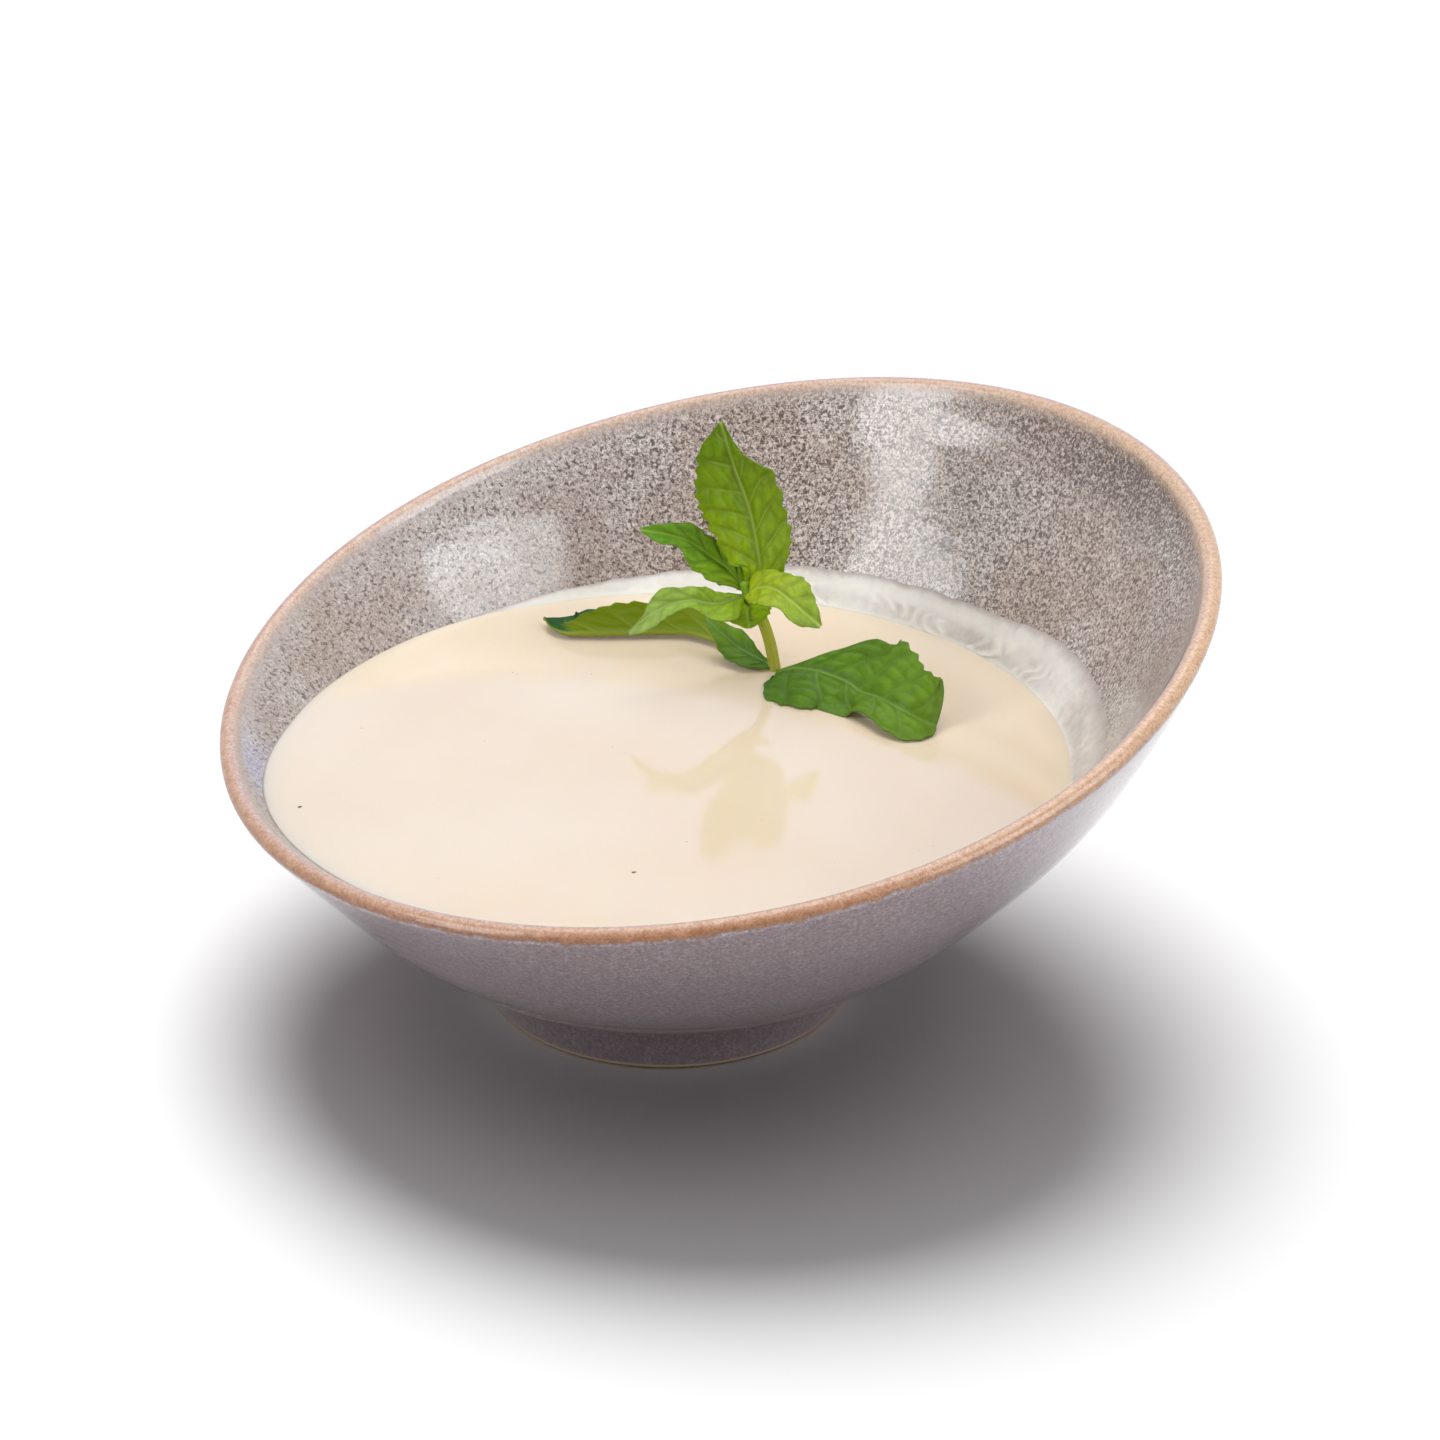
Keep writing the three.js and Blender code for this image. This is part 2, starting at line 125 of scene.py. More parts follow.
outside_radius = smooth_curve(WALL_HEIGHTS, WALL_RADII)


def outward(height):
    """The wall's outward direction, radial and vertical, square to its slope at a height."""
    step = 0.1
    slope = (outside_radius(height + step / 2) - outside_radius(height - step / 2)) / step
    length = np.hypot(1, slope)
    return 1 / length, -slope / length


def rim_height(angle):
    """Top of the rim: a mean height and three harmonics of the angle from the high side."""
    turn = angle - math.pi / 2
    height = np.full_like(turn, RIM_MEAN_HEIGHT)
    for i, (cosine, sine) in enumerate(zip(RIM_COSINES, RIM_SINES), 1):
        height += cosine * np.cos(i * turn) + sine * np.sin(i * turn)
    return height


def lip_start(angle):
    """Height of the outside where the lip starts to round over, so that its round just reaches the rim."""
    half = LIP_THICKNESS / 2
    top = rim_height(angle)
    return top - half - half * np.abs(outward(top - LIP_THICKNESS)[1])


def inside_point(height, lip_height):
    """Radius and height of the inside of the wall that faces a height of its outside: one thickness
    away, square to the wall. The wall thins smoothly to the lip."""
    taper = smoothstep(lip_height - height, 0, LIP_TAPER)
    thickness = LIP_THICKNESS + (WALL_THICKNESS - LIP_THICKNESS) * taper
    radial, vertical = outward(height)
    return outside_radius(height) - thickness * radial, height - thickness * vertical


def grid_faces(rows, columns, around=False):
    """Quads between neighbours in a grid of points numbered row by row. Around joins the last column
    to the first."""
    row, column = np.meshgrid(np.arange(rows - 1), np.arange(columns - (not around)), indexing="ij")
    after = (column + 1) % columns
    corners = [row * columns + column, row * columns + after]
    corners += [(row + 1) * columns + after, (row + 1) * columns + column]
    return np.stack(corners, -1).reshape(-1, 4)


def capped_faces(rows, columns):
    """Faces of a closed form whose grid of points goes round: the grid's quads, and the triangles from
    its first and its last row to the two poles that come after its points."""
    ring = np.arange(columns)
    onward = np.roll(ring, -1)
    pole = np.full_like(ring, rows * columns)
    last = (rows - 1) * columns
    return [
        grid_faces(rows, columns, around=True),
        np.stack([pole, onward, ring], -1),
        np.stack([pole + 1, ring + last, onward + last], -1),
    ]


def turned_round(faces):
    """The same faces, looking the other way."""
    return [group[:, ::-1] for group in faces]


def round_axis(radius, angle, height):
    """Points at a radius and an angle round the wheel's axis, and at a height."""
    x = BOWL_AXIS[0] + radius * np.cos(angle)
    y = BOWL_AXIS[1] + radius * np.sin(angle)
    return np.stack(np.broadcast_arrays(x, y, height), -1)


def add_piece(name, points, faces, material, attributes=None, uv=None):
    """A smooth-shaded mesh object at the origin. Points are in millimetres, faces are arrays of
    corner numbers, an attribute holds one number for each point and uv one pair."""
    mesh = bpy.data.meshes.new(name)
    mesh.from_pydata((points * MM).tolist(), [], [face for group in faces for face in group.tolist()])
    mesh.shade_smooth()
    for key, values in (attributes or {}).items():
        layer = mesh.attributes.new(key, "FLOAT", "POINT")
        layer.data.foreach_set("value", np.asarray(values, np.float32).ravel())
    if uv is not None:
        corners = np.zeros(len(mesh.loops), np.int32)
        mesh.loops.foreach_get("vertex_index", corners)
        mesh.uv_layers.new(name="UVMap").data.foreach_set("uv", uv[corners].astype(np.float32).ravel())
    mesh.materials.append(material)
    piece = bpy.data.objects.new(name, mesh)
    bpy.context.scene.collection.objects.link(piece)
    return piece


def bowl_outline(angle):
    """Radius and height of the bowl's outline, one row for each step from the middle of the recess
    under the foot, over the lip, to the middle of the floor, and one column for each angle. Also the
    number of the row that runs along the crest of the lip."""
    ring_inside = FOOT_RADIUS - FOOT_RING_WIDTH
    turn = np.linspace(-math.pi / 2, 0, 5)
    edge_middle = FOOT_RADIUS - FOOT_EDGE
    round_edge = np.stack([edge_middle + FOOT_EDGE * np.cos(turn), FOOT_EDGE * (1 + np.sin(turn))], -1)
    corner = np.array([FOOT_TOP_RADIUS, FOOT_HEIGHT])
    below = corner - [FOOT_FILLET * 0.2, FOOT_FILLET]
    wall_foot = FOOT_HEIGHT + FOOT_FILLET * 0.4
    above = np.array([float(outside_radius(wall_foot)), wall_foot])
    bend = np.linspace(0, 1, 8)[:, None]
    foot = [
        [[ring_inside * part, RECESS_DEPTH] for part in (0.3, 0.6, 0.8)],
        [[ring_inside - RECESS_SLOPE, RECESS_DEPTH - 0.1], [ring_inside - 0.6, 0.5], [ring_inside, 0]],
        round_edge,
        [[FOOT_RADIUS + 0.35, 3], [FOOT_RADIUS + 0.85, 5.4]],
        (1 - bend) ** 2 * below + 2 * bend * (1 - bend) * corner + bend**2 * above,
    ]
    foot = np.concatenate([np.array(part, float) for part in foot])
    top = lip_start(angle)
    along = (np.linspace(0, 1, WALL_ROWS + 1)[1:, None]) ** 1.15
    heights = wall_foot + (top - wall_foot) * along
    outside = np.stack([outside_radius(heights), heights])

    half = LIP_THICKNESS / 2
    radial, vertical = outward(top)
    turn = np.linspace(0, math.pi, LIP_ROWS + 1)[1:-1, None]
    across, up = half * np.cos(turn) - half, half * np.sin(turn)
    lip = np.stack([
        outside_radius(top) + across * radial - up * vertical,
        top + across * vertical + up * radial,
    ])
    heights = INSIDE_START + (top - INSIDE_START) * along[::-1]
    inside = np.stack(inside_point(heights, top))
    edge = np.stack(inside_point(np.full_like(top, INSIDE_START), top))
    part = np.linspace(1, 0.1, 7)[:, None]
    floor = np.stack([part * edge[0], FLOOR_HEIGHT + (edge[1] - FLOOR_HEIGHT) * part**2])
    foot = np.repeat(foot.T[:, :, None], len(angle), 2)
    return np.concatenate([foot, outside, lip, inside, floor], 1), foot.shape[1] + WALL_ROWS + LIP_ROWS // 2


def towards_side(angle, side):
    """1 on the side of the bowl at an angle in degrees, 0 opposite it: half the cosine plus a half,
    squared."""
    return (0.5 + 0.5 * np.cos(angle - math.radians(side))) ** 2


LEFT_SIDE, RIGHT_SIDE = 233.8, 40.0  # degrees; the high side is at 90
WOBBLE, FINE_WOBBLE, THROWING_RING = 0.10, 0.05, 0.012  # how far the wall strays, in mm
LEFT_SAG, RIGHT_SAG, RIGHT_BELLY = 1.25, 1.0, 0.9
HEAVY_SIDE = 3.4


def sway(angle, height):
    """How far the wall strays from a true circle: a slow wobble and a sag to both sides from drying,
    and the faint rings that the thrower's fingers leave every few millimetres."""
    wobble = WOBBLE * np.sin(2 * angle + 0.7) + FINE_WOBBLE * np.sin(5 * angle + height / 9)
    rings = THROWING_RING * np.sin(2 * math.pi * height / 3.3 + 1.5 * np.sin(angle))
    left = LEFT_SAG * towards_side(angle, LEFT_SIDE) * smoothstep(height, 36, 52)
    belly = RIGHT_SAG + RIGHT_BELLY * np.exp(-(((height - 48) / 14) ** 2))
    right = belly * towards_side(angle, RIGHT_SIDE) * smoothstep(height, 15, 35)
    return wobble * smoothstep(height, 2, 12) + rings * smoothstep(height, 14, 24) + left + right


def extra_thickness(angle, height):
    """How much thicker the wall is on the low left side, where the clay was left heavy: most from 7 mm
    under the rim downwards, fading out to the rim and to the floor."""
    under_rim = smoothstep(rim_height(angle) - height, 1, 7)
    return HEAVY_SIDE * towards_side(angle, LEFT_SIDE) * under_rim * smoothstep(height, 12, 30)


angle = np.linspace(0, 2 * math.pi, BOWL_STEPS, endpoint=False)
outline, lip_row = bowl_outline(angle)
radius, height = outline
rows = len(radius)
inner_rows = np.arange(rows)[:, None] > lip_row
radius = radius + sway(angle, height) - inner_rows * extra_thickness(angle, height)
steps = np.hypot(np.diff(radius, axis=0), np.diff(height, axis=0))
from_start = np.concatenate([np.zeros((1, BOWL_STEPS)), np.cumsum(steps, 0)])
from_lip = from_start[lip_row] - from_start
poles = round_axis(0, 0, np.array([RECESS_DEPTH, FLOOR_HEIGHT]))
bowl_points = np.concatenate([round_axis(radius, angle, height).reshape(-1, 3), poles])


def colour(hex_value):
    """An sRGB hex colour as the linear colour that shaders take."""
    channels = np.array([int(hex_value[i : i + 2], 16) for i in (1, 3, 5)]) / 255
    linear = np.where(channels <= 0.04045, channels / 12.92, ((channels + 0.055) / 1.055) ** 2.4)
    return (*linear.tolist(), 1.0)


def add_node(material, kind, inputs=None, stops=None, **settings):
    """Adds a shader node. An input is a value or the (node, output) that feeds it, stops are the (place,
    colour) pairs of a colour ramp, and settings are the node's own."""
    made = material.node_tree.nodes.new("ShaderNode" + kind)
    for key, value in settings.items():
        setattr(made, key, value)
    if stops:
        ramp = made.color_ramp
        while len(ramp.elements) < len(stops):
            ramp.elements.new(0.5)
        for element, (place, hex_value) in zip(ramp.elements, stops):
            element.position = place
            element.color = colour(hex_value)
    for key, value in (inputs or {}).items():
        if isinstance(value, tuple) and isinstance(value[0], bpy.types.Node):
            material.node_tree.links.new(value[0].outputs[value[1]], made.inputs[key])
        else:
            made.inputs[key].default_value = value
    return made


def new_material(name):
    """An empty node material."""
    material = bpy.data.materials.new(name)
    material.use_nodes = True
    material.node_tree.nodes.clear()
    return material


# Reactive stoneware glaze, dipped and fired: pale crystals grow in strands over a brown ground and leave
# dark pinholes of it half a millimetre wide. Inside it is thick and open, outside thinner and more even.
# Just under the lip it has run smooth, and on the lip it breaks to the warm clay. The ring under the
# foot is wiped bare. Fired glass has an IOR of about 1.5, and its skin is smooth over faint pits.
STRAND, PINHOLE, CLOUD, RAGGED_EDGE = 0.62, 0.8, 24, 2.6  # mm from one to the next
GLAZE_IOR = 1.52
GROWN = [(0.34, "#4C3B33"), (0.43, "#92817A"), (0.51, "#C2B3AC"), (0.62, "#E8DFDA")]
MILKY = [(0.32, "#8A7C75"), (0.46, "#B0A39E"), (0.58, "#C8BEBA"), (0.70, "#E2DDDB")]
OUTSIDE = [(0.3, "#7F7073"), (0.5, "#9B8A8E"), (0.7, "#B7ABAF")]
LIP_GRAIN = [(0.36, "#E0CFC4"), (0.6, "#FFFFFF")]
stoneware = new_material("reactive_glazed_stoneware")
place = add_node(stoneware, "TexCoord")
split = add_node(stoneware, "SeparateXYZ", {0: (place, "Object")})
lip, thin, run_smooth, open_glaze, pale_lip = [
    add_node(stoneware, "Attribute", attribute_name=key)
    for key in ("from_lip", "thin_glaze", "run_smooth", "open_glaze", "pale_lip")
]
strands, pinholes, clouds, ragged = [
    add_node(
        stoneware, "TexNoise",
        {
            "Vector": (place, "Object"), "Scale": 1 / (size * MM), "Detail": detail, "Roughness": rough,
            "Distortion": twist,
        },
    )
    for size, detail, rough, twist in [
        (STRAND, 2, 0.55, 1.1), (PINHOLE, 1, 0.5, 0), (CLOUD, 3, 0.55, 0), (RAGGED_EDGE, 3, 0.65, 0),
    ]
]
# The tones of the strands run from the ground between them to their crests.
grown, milky, outside, lip_grain = [
    add_node(stoneware, "ValToRGB", {0: (strands, "Fac")}, stops=stops)
    for stops in (GROWN, MILKY, OUTSIDE, LIP_GRAIN)
]
cloud_tone = add_node(
    stoneware, "ValToRGB", {0: (clouds, "Fac")}, stops=[(0.35, "#E6DAD0"), (0.65, "#FFFFFF")]
)
# How many millimetres outwards from the crest of the lip, moved to make the break's edges ragged.
lip_place = add_node(
    stoneware, "Math", {0: (ragged, "Fac"), 1: 2.4, 2: (lip, "Fac")}, operation="MULTIPLY_ADD"
)
# What each mask reads, the range of it over which the mask changes, and its values at both ends.
masks = {
    "pinholes": [(pinholes, "Fac"), (0.33, 0.43), (0.85, 0), "LINEAR"],
    "ground": [(strands, "Fac"), (0.44, 0.62), (1, 0.25), "LINEAR"],
    "outside": [(lip, "Fac"), (-0.5, 0.5), (0, 1), "LINEAR"],
    "across_lip": [(lip_place, 0), (-3.8, 6.2), (0, 1), "LINEAR"],
    "lip_inside": [(lip_place, 0), (-3.4, 0), (0, 1), "SMOOTHSTEP"],
    "lip_outside": [(lip_place, 0), (3.1, 4), (1, 0), "SMOOTHSTEP"],
    "foot": [(split, "Z"), (9 * MM, 11 * MM), (0.5, 0), "LINEAR"],
    "bare": [(split, "Z"), (0.7 * MM, 1.1 * MM), (1, 0), "LINEAR"],
}
for key, (read, (start, end), (at_start, at_end), bend) in masks.items():
    mask = add_node(
        stoneware, "MapRange",
        {"Value": read, "From Min": start, "From Max": end, "To Min": at_start, "To Max": at_end},
        interpolation_type=bend,
    )
    masks[key] = (mask, 0)
burn, on_lip = [
    add_node(stoneware, "Math", {0: first, 1: second}, operation="MULTIPLY")
    for first, second in [((thin, "Fac"), masks["ground"]), (masks["lip_inside"], masks["lip_outside"])]
]
# The break on the lip: from inside to outside a pale pink edge, tan, a ragged terracotta line and brown.
lip_tones = add_node(
    stoneware, "ValToRGB",
    {0: masks["across_lip"]},
    stops=[
        (0.15, "#C9BAB4"), (0.33, "#E0C6B6"), (0.46, "#D8B199"), (0.57, "#C19375"), (0.68, "#A06C4B"),
        (0.76, "#735A50"),
    ],
)
smooth_tone = add_node(
    stoneware, "Mix", {0: (thin, "Fac"), 6: colour("#C3B5B1"), 7: colour("#8A6354")}, data_type="RGBA"
)
paled = add_node(
    stoneware, "Mix",
    {0: (pale_lip, "Fac"), 6: (lip_tones, "Color"), 7: colour("#F2D0AC")},
    data_type="RGBA",
)
grained = add_node(
    stoneware, "Mix",
    {0: 1, 6: (paled, 2), 7: (lip_grain, "Color")},
    data_type="RGBA",
    blend_type="MULTIPLY",
)
# The colour is laid on in coats, each over the ones before it as far as its mask says: grown crystals,
# pinholes, clouds, the smooth band under the lip and the stretch of it that burnt brown, then the
# outside, the lip, the foot and the bare ring.
surface = (milky, "Color")
for mask, coat, blend in [
    ((open_glaze, "Fac"), (grown, "Color"), "MIX"),
    (masks["pinholes"], colour("#4C3C35"), "MIX"),
    (1, (cloud_tone, "Color"), "MULTIPLY"),
    ((run_smooth, "Fac"), (smooth_tone, 2), "MIX"),
    ((burn, 0), colour("#3C160D"), "MIX"),
    (masks["outside"], (outside, "Color"), "MIX"),
    ((on_lip, 0), (grained, 2), "MIX"),
    (masks["foot"], colour("#574C4C"), "MIX"),
    (masks["bare"], colour("#B79C83"), "MIX"),
]:
    layer = add_node(stoneware, "Mix", {0: mask, 6: surface, 7: coat}, data_type="RGBA", blend_type=blend)
    surface = (layer, 2)
roughness = add_node(stoneware, "MapRange", {"Value": masks["bare"], "To Min": 0.3, "To Max": 0.75})
skin_weight = add_node(stoneware, "MapRange", {"Value": (on_lip, 0), "To Min": 1, "To Max": 0.35})
pits, skin_pits = [
    add_node(stoneware, "Bump", {"Height": (strands, "Fac"), "Strength": strength, "Distance": depth * MM})
    for strength, depth in [(0.3, 0.2), (0.12, 0.12)]
]
glaze = add_node(
    stoneware, "BsdfPrincipled",
    {
        "Base Color": surface, "Roughness": (roughness, 0), "Normal": (pits, 0), "IOR": GLAZE_IOR,
        "Coat Weight": (skin_weight, 0), "Coat Roughness": 0.07, "Coat IOR": GLAZE_IOR,
        "Coat Normal": (skin_pits, 0),
    },
)
add_node(stoneware, "OutputMaterial", {"Surface": (glaze, 0)})

# The stretch where the glaze burnt runs along the high side's right shoulder, just inside the lip.
BURN_MIDDLE, BURN_WIDTH = math.radians(76), math.radians(20)
burn_along = np.exp(-(((angle - BURN_MIDDLE) / BURN_WIDTH) ** 2))
burn_down = smoothstep(-from_lip, 1.0, 2.6) * (1 - smoothstep(-from_lip, 7, 19))
# The glaze ran smooth in a band that is narrow on the high side and broad on the low left side and on the
# right. Its crystals have grown most on the high side and the right, and it stays milky on the left. On the
# right the lip is paler and more orange.
RUN_HIGH, RUN_LOW, RUN_RIGHT = 5.5, 8.0, 9.0
run_width = RUN_LOW + (RUN_HIGH - RUN_LOW) * (0.5 + 0.5 * np.cos(angle - math.radians(75))) ** 0.6
run_width = run_width + RUN_RIGHT * towards_side(angle, 20) ** 5
smooth_band = 0.6 * smoothstep(from_lip, -run_width, -run_width * 0.3)
bowl_marks = {
    "from_lip": from_lip,
    "thin_glaze": burn_along * burn_down,
    "run_smooth": smooth_band * (1 - 0.9 * burn_along * burn_down),
    "open_glaze": smoothstep(np.cos(angle - math.radians(65)), -0.35, 0.65),
    "pale_lip": 0.55 * towards_side(angle, 55) ** 2,
}
for key, mark in bowl_marks.items():
    mark = mark + 0 * from_lip
    bowl_marks[key] = np.append(mark.ravel(), mark[[0, -1], 0])
bowl = add_piece("glazed_bowl", bowl_points, capped_faces(rows, BOWL_STEPS), stoneware, bowl_marks)
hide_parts("bowl")
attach(bowl, "root")

# ---- The sauce -----------------------------------------------------------------------------------
# Tahini thinned with lemon juice and water: a thick, smooth, wet cream that levels itself. It climbs
# the wall and the stem by less than half a millimetre, and its skin keeps slow swells from pouring.
SAUCE_STEPS = 288
SAUCE_RINGS = 110
SAUCE_SIDE_ROWS = 14
SAUCE_LOW, SAUCE_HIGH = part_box("sauce")
SAUCE_LEVEL = SAUCE_HIGH.z / MM
SAUCE_CORNER = 3.5  # how far its side ends above its lowest point
INTO_WALL = 0.4  # the sauce reaches this far into the wall, so that no gap shows
WALL_CLIMB, STEM_CLIMB = 0.25, 0.4
STEM_FOOT = np.array([-15.6, 36.2]) + BOWL_AXIS


def inside_radius(height, angle):
    """Radius of the inside of the wall at a height: the height of the outside that faces it is found
    by moving it again and again by what its inside still lacks. What the wall strays and what it is
    thicker there come on top."""
    top = lip_start(angle)
    facing = height + 0 * angle
    for _ in range(12):
        facing = facing + height - inside_point(facing, top)[1]
    return inside_point(facing, top)[0] + sway(angle, height) - extra_thickness(angle, height)


def swell(x, y):
    """Height of the sauce's slow swells: three crossing waves, a fifth of a millimetre in all."""
    waves = 0.09 * np.sin(x / 11 + 1.2 * np.sin(y / 17)) + 0.07 * np.sin(y / 8.3 + x / 21)
    return waves + 0.03 * np.sin((x + y) / 4.1 + np.sin(x / 6))


angle = np.linspace(0, 2 * math.pi, SAUCE_STEPS, endpoint=False)
part = np.linspace(0, 1, SAUCE_RINGS + 1)[1:, None] ** 0.8
edge = inside_radius(SAUCE_LEVEL, angle)
radius = (edge + INTO_WALL) * part
top = round_axis(radius, angle, SAUCE_LEVEL)
x, y = top[..., 0], top[..., 1]
from_wall = edge - radius
from_stem = np.hypot(x - STEM_FOOT[0], y - STEM_FOOT[1]) - 1.2
top[..., 2] += swell(x, y) * smoothstep(from_wall, -1, 5)
top[..., 2] += WALL_CLIMB * np.exp(-np.maximum(from_wall, 0) / 0.7)
top[..., 2] += STEM_CLIMB * np.exp(-np.maximum(from_stem, 0) / 0.6)
side_end = SAUCE_LOW.z / MM + SAUCE_CORNER
side_heights = np.linspace(SAUCE_LEVEL, side_end, SAUCE_SIDE_ROWS)[1:, None] + 0 * angle
side = round_axis(inside_radius(side_heights, angle) + INTO_WALL, angle, side_heights)
centres = round_axis(0, 0, np.array([SAUCE_LEVEL + swell(*BOWL_AXIS), SAUCE_LOW.z / MM]))
sheet = np.concatenate([top, side])
sauce_points = np.concatenate([sheet.reshape(-1, 3), centres])
sauce_faces = turned_round(capped_faces(len(sheet), SAUCE_STEPS))

# Tahini is ground sesame in its own oil and water: light scatters a few millimetres deep, so it is
# creamy and soft in its shadows, and its oily skin has a clear, slightly broad gloss.
tahini = new_material("tahini_cream")
place = add_node(tahini, "TexCoord")
tint = add_node(tahini, "TexNoise", {"Vector": (place, "Object"), "Scale": 1 / (35 * MM), "Detail": 2.0})
cream = add_node(tahini, "ValToRGB", {0: (tint, "Fac")}, stops=[(0.3, "#F3DCBF"), (0.7, "#F6E2C9")])
wet_skin = add_node(
    tahini, "TexNoise",
    {"Vector": (place, "Object"), "Scale": 1 / (3.2 * MM), "Detail": 2.0, "Roughness": 0.45},
)
skin_bump = add_node(tahini, "Bump", {"Height": (wet_skin, "Fac"), "Strength": 0.08, "Distance": 0.1 * MM})
sauce_skin = add_node(
    tahini, "BsdfPrincipled",
    {
        "Base Color": (cream, "Color"), "Roughness": 0.09, "IOR": 1.52, "Normal": (skin_bump, 0),
        "Subsurface Weight": 0.35, "Subsurface Radius": (1.0, 0.75, 0.5), "Subsurface Scale": 2.5 * MM,
    },
)
add_node(tahini, "OutputMaterial", {"Surface": (sauce_skin, 0)})
sauce = add_piece("tahini_sauce", sauce_points, sauce_faces, tahini)
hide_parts("sauce")
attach(sauce, "root")

# ---- The sesame specks ---------------------------------------------------------------------------
# Bits of toasted hull that the mill left in the tahini: brown flakes, mostly a quarter of a millimetre
# long. The largest lie where the eye finds them, and the rest are strewn over the sauce.
LARGE_SPECKS = [(-20.4, -74.4), (-25.8, 56.5), (34.0, -41.0)]
LARGE_SPECK = 0.85
SMALL_SPECKS = 16
SPECK_ROWS = 7
SPECK_STEPS = 12
speck_draws = np.random.default_rng(7)
spread = 0.9 * edge.mean() * np.sqrt(speck_draws.uniform(0.02, 1, SMALL_SPECKS))
bearing = speck_draws.uniform(0, 2 * math.pi, SMALL_SPECKS)
speck_places = np.concatenate([LARGE_SPECKS, round_axis(spread, bearing, 0)[:, :2]])
small_lengths = speck_draws.uniform(0.16, 0.3, SMALL_SPECKS)
speck_lengths = np.concatenate([np.full(len(LARGE_SPECKS), LARGE_SPECK), small_lengths])
speck_turns = speck_draws.uniform(0, math.pi, len(speck_places))
# Each is a lump: a ball, flattened, longer than wide, with a bulge that turns its round outline ragged.
latitude = np.linspace(-math.pi / 2, math.pi / 2, SPECK_ROWS)[1:-1, None]
longitude = np.linspace(0, 2 * math.pi, SPECK_STEPS, endpoint=False)
girth = np.cos(latitude) * (1 + 0.18 * np.sin(3 * longitude + 1))
ball = [girth * np.cos(longitude), 0.6 * girth * np.sin(longitude), 0.35 * np.sin(latitude)]
ball = np.stack(np.broadcast_arrays(*ball), -1).reshape(-1, 3)
ball = np.concatenate([ball, [[0, 0, -0.35], [0, 0, 0.35]]]) / 2
flake = ball * speck_lengths[:, None, None]
cosine, sine = np.cos(speck_turns)[:, None], np.sin(speck_turns)[:, None]
speck_points = np.stack([
    speck_places[:, :1] + flake[..., 0] * cosine - flake[..., 1] * sine,
    speck_places[:, 1:] + flake[..., 0] * sine + flake[..., 1] * cosine,
    SAUCE_LEVEL + swell(*speck_places.T)[:, None] + flake[..., 2],
], -1)
starts = np.arange(len(speck_places))[:, None, None] * len(ball)
speck_faces = [
    (group + starts).reshape(-1, group.shape[1]) for group in capped_faces(SPECK_ROWS - 2, SPECK_STEPS)
]

# Toasted sesame hull, wet with the sauce: brown, darker in its folds, and half matt.
hull = new_material("toasted_sesame_hull")
place = add_node(hull, "TexCoord")
toasting = add_node(hull, "TexNoise", {"Vector": (place, "Object"), "Scale": 1 / (0.3 * MM), "Detail": 2.0})
hull_tone = add_node(hull, "ValToRGB", {0: (toasting, "Fac")}, stops=[(0.35, "#4A3326"), (0.65, "#8A6A50")])
hull_skin = add_node(
    hull, "BsdfPrincipled", {"Base Color": (hull_tone, "Color"), "Roughness": 0.45, "IOR": 1.45}
)
add_node(hull, "OutputMaterial", {"Surface": (hull_skin, 0)})
specks = add_piece("sesame_specks", speck_points.reshape(-1, 3), speck_faces, hull)
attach(specks, "root")

# ---- The film on the wall ------------------------------------------------------------------------
# Where the sauce was poured it ran a few millimetres up the wall and drew back, and left a thin,
# wrinkled, half-dry film of itself, highest at the right and gone at the left.
FILM_ANGLES = [-50, -25, 0, 25, 45, 60, 70, 80, 91, 107, 125, 145, 160, 176, 190]  # degrees round the bowl
FILM_TOPS = [0, 2.2, 5, 7.2, 8.2, 8.7, 9.0, 8.2, 6.9, 6.5, 5.7, 3.4, 1.9, 0.5, 0]  # above the sauce
FILM_THICKNESS = 0.4
FILM_STEPS = 840
FILM_ROWS = 56
FILM_FOOT = 0.6  # how far the film reaches down into the sauce
FILM_BACK = 0.5  # and into the wall
WRINKLE = 1.25


def sheet_faces(rows, columns):
    """Faces of a closed sheet whose upper points come first and lower points after them: both its skins
    and the strip that joins them round the edge."""
    count = rows * columns
    skin = grid_faces(rows, columns)
    border = np.concatenate([
        np.arange(columns),
        np.arange(2, rows + 1) * columns - 1,
        np.arange(count - 2, count - columns - 1, -1),
        np.arange(rows - 2, 0, -1) * columns,
    ])
    onward = np.roll(border, -1)
    return [skin, skin[:, ::-1] + count, np.stack([border, border + count, onward + count, onward], -1)]


film_top = smooth_curve(np.radians(FILM_ANGLES), FILM_TOPS)
angle = np.radians(np.linspace(FILM_ANGLES[0], FILM_ANGLES[-1], FILM_STEPS))
part = np.linspace(0, 1, FILM_ROWS)[:, None]
uneven = 0.12 * np.sin(angle * 29 + 2 * np.sin(angle * 7)) + 0.06 * np.sin(angle * 83)
reach = film_top(angle) + uneven * smoothstep(film_top(angle), 0.3, 3)
height = SAUCE_LEVEL - FILM_FOOT + (reach + FILM_FOOT) * part
along = angle * inside_radius(SAUCE_LEVEL, angle)
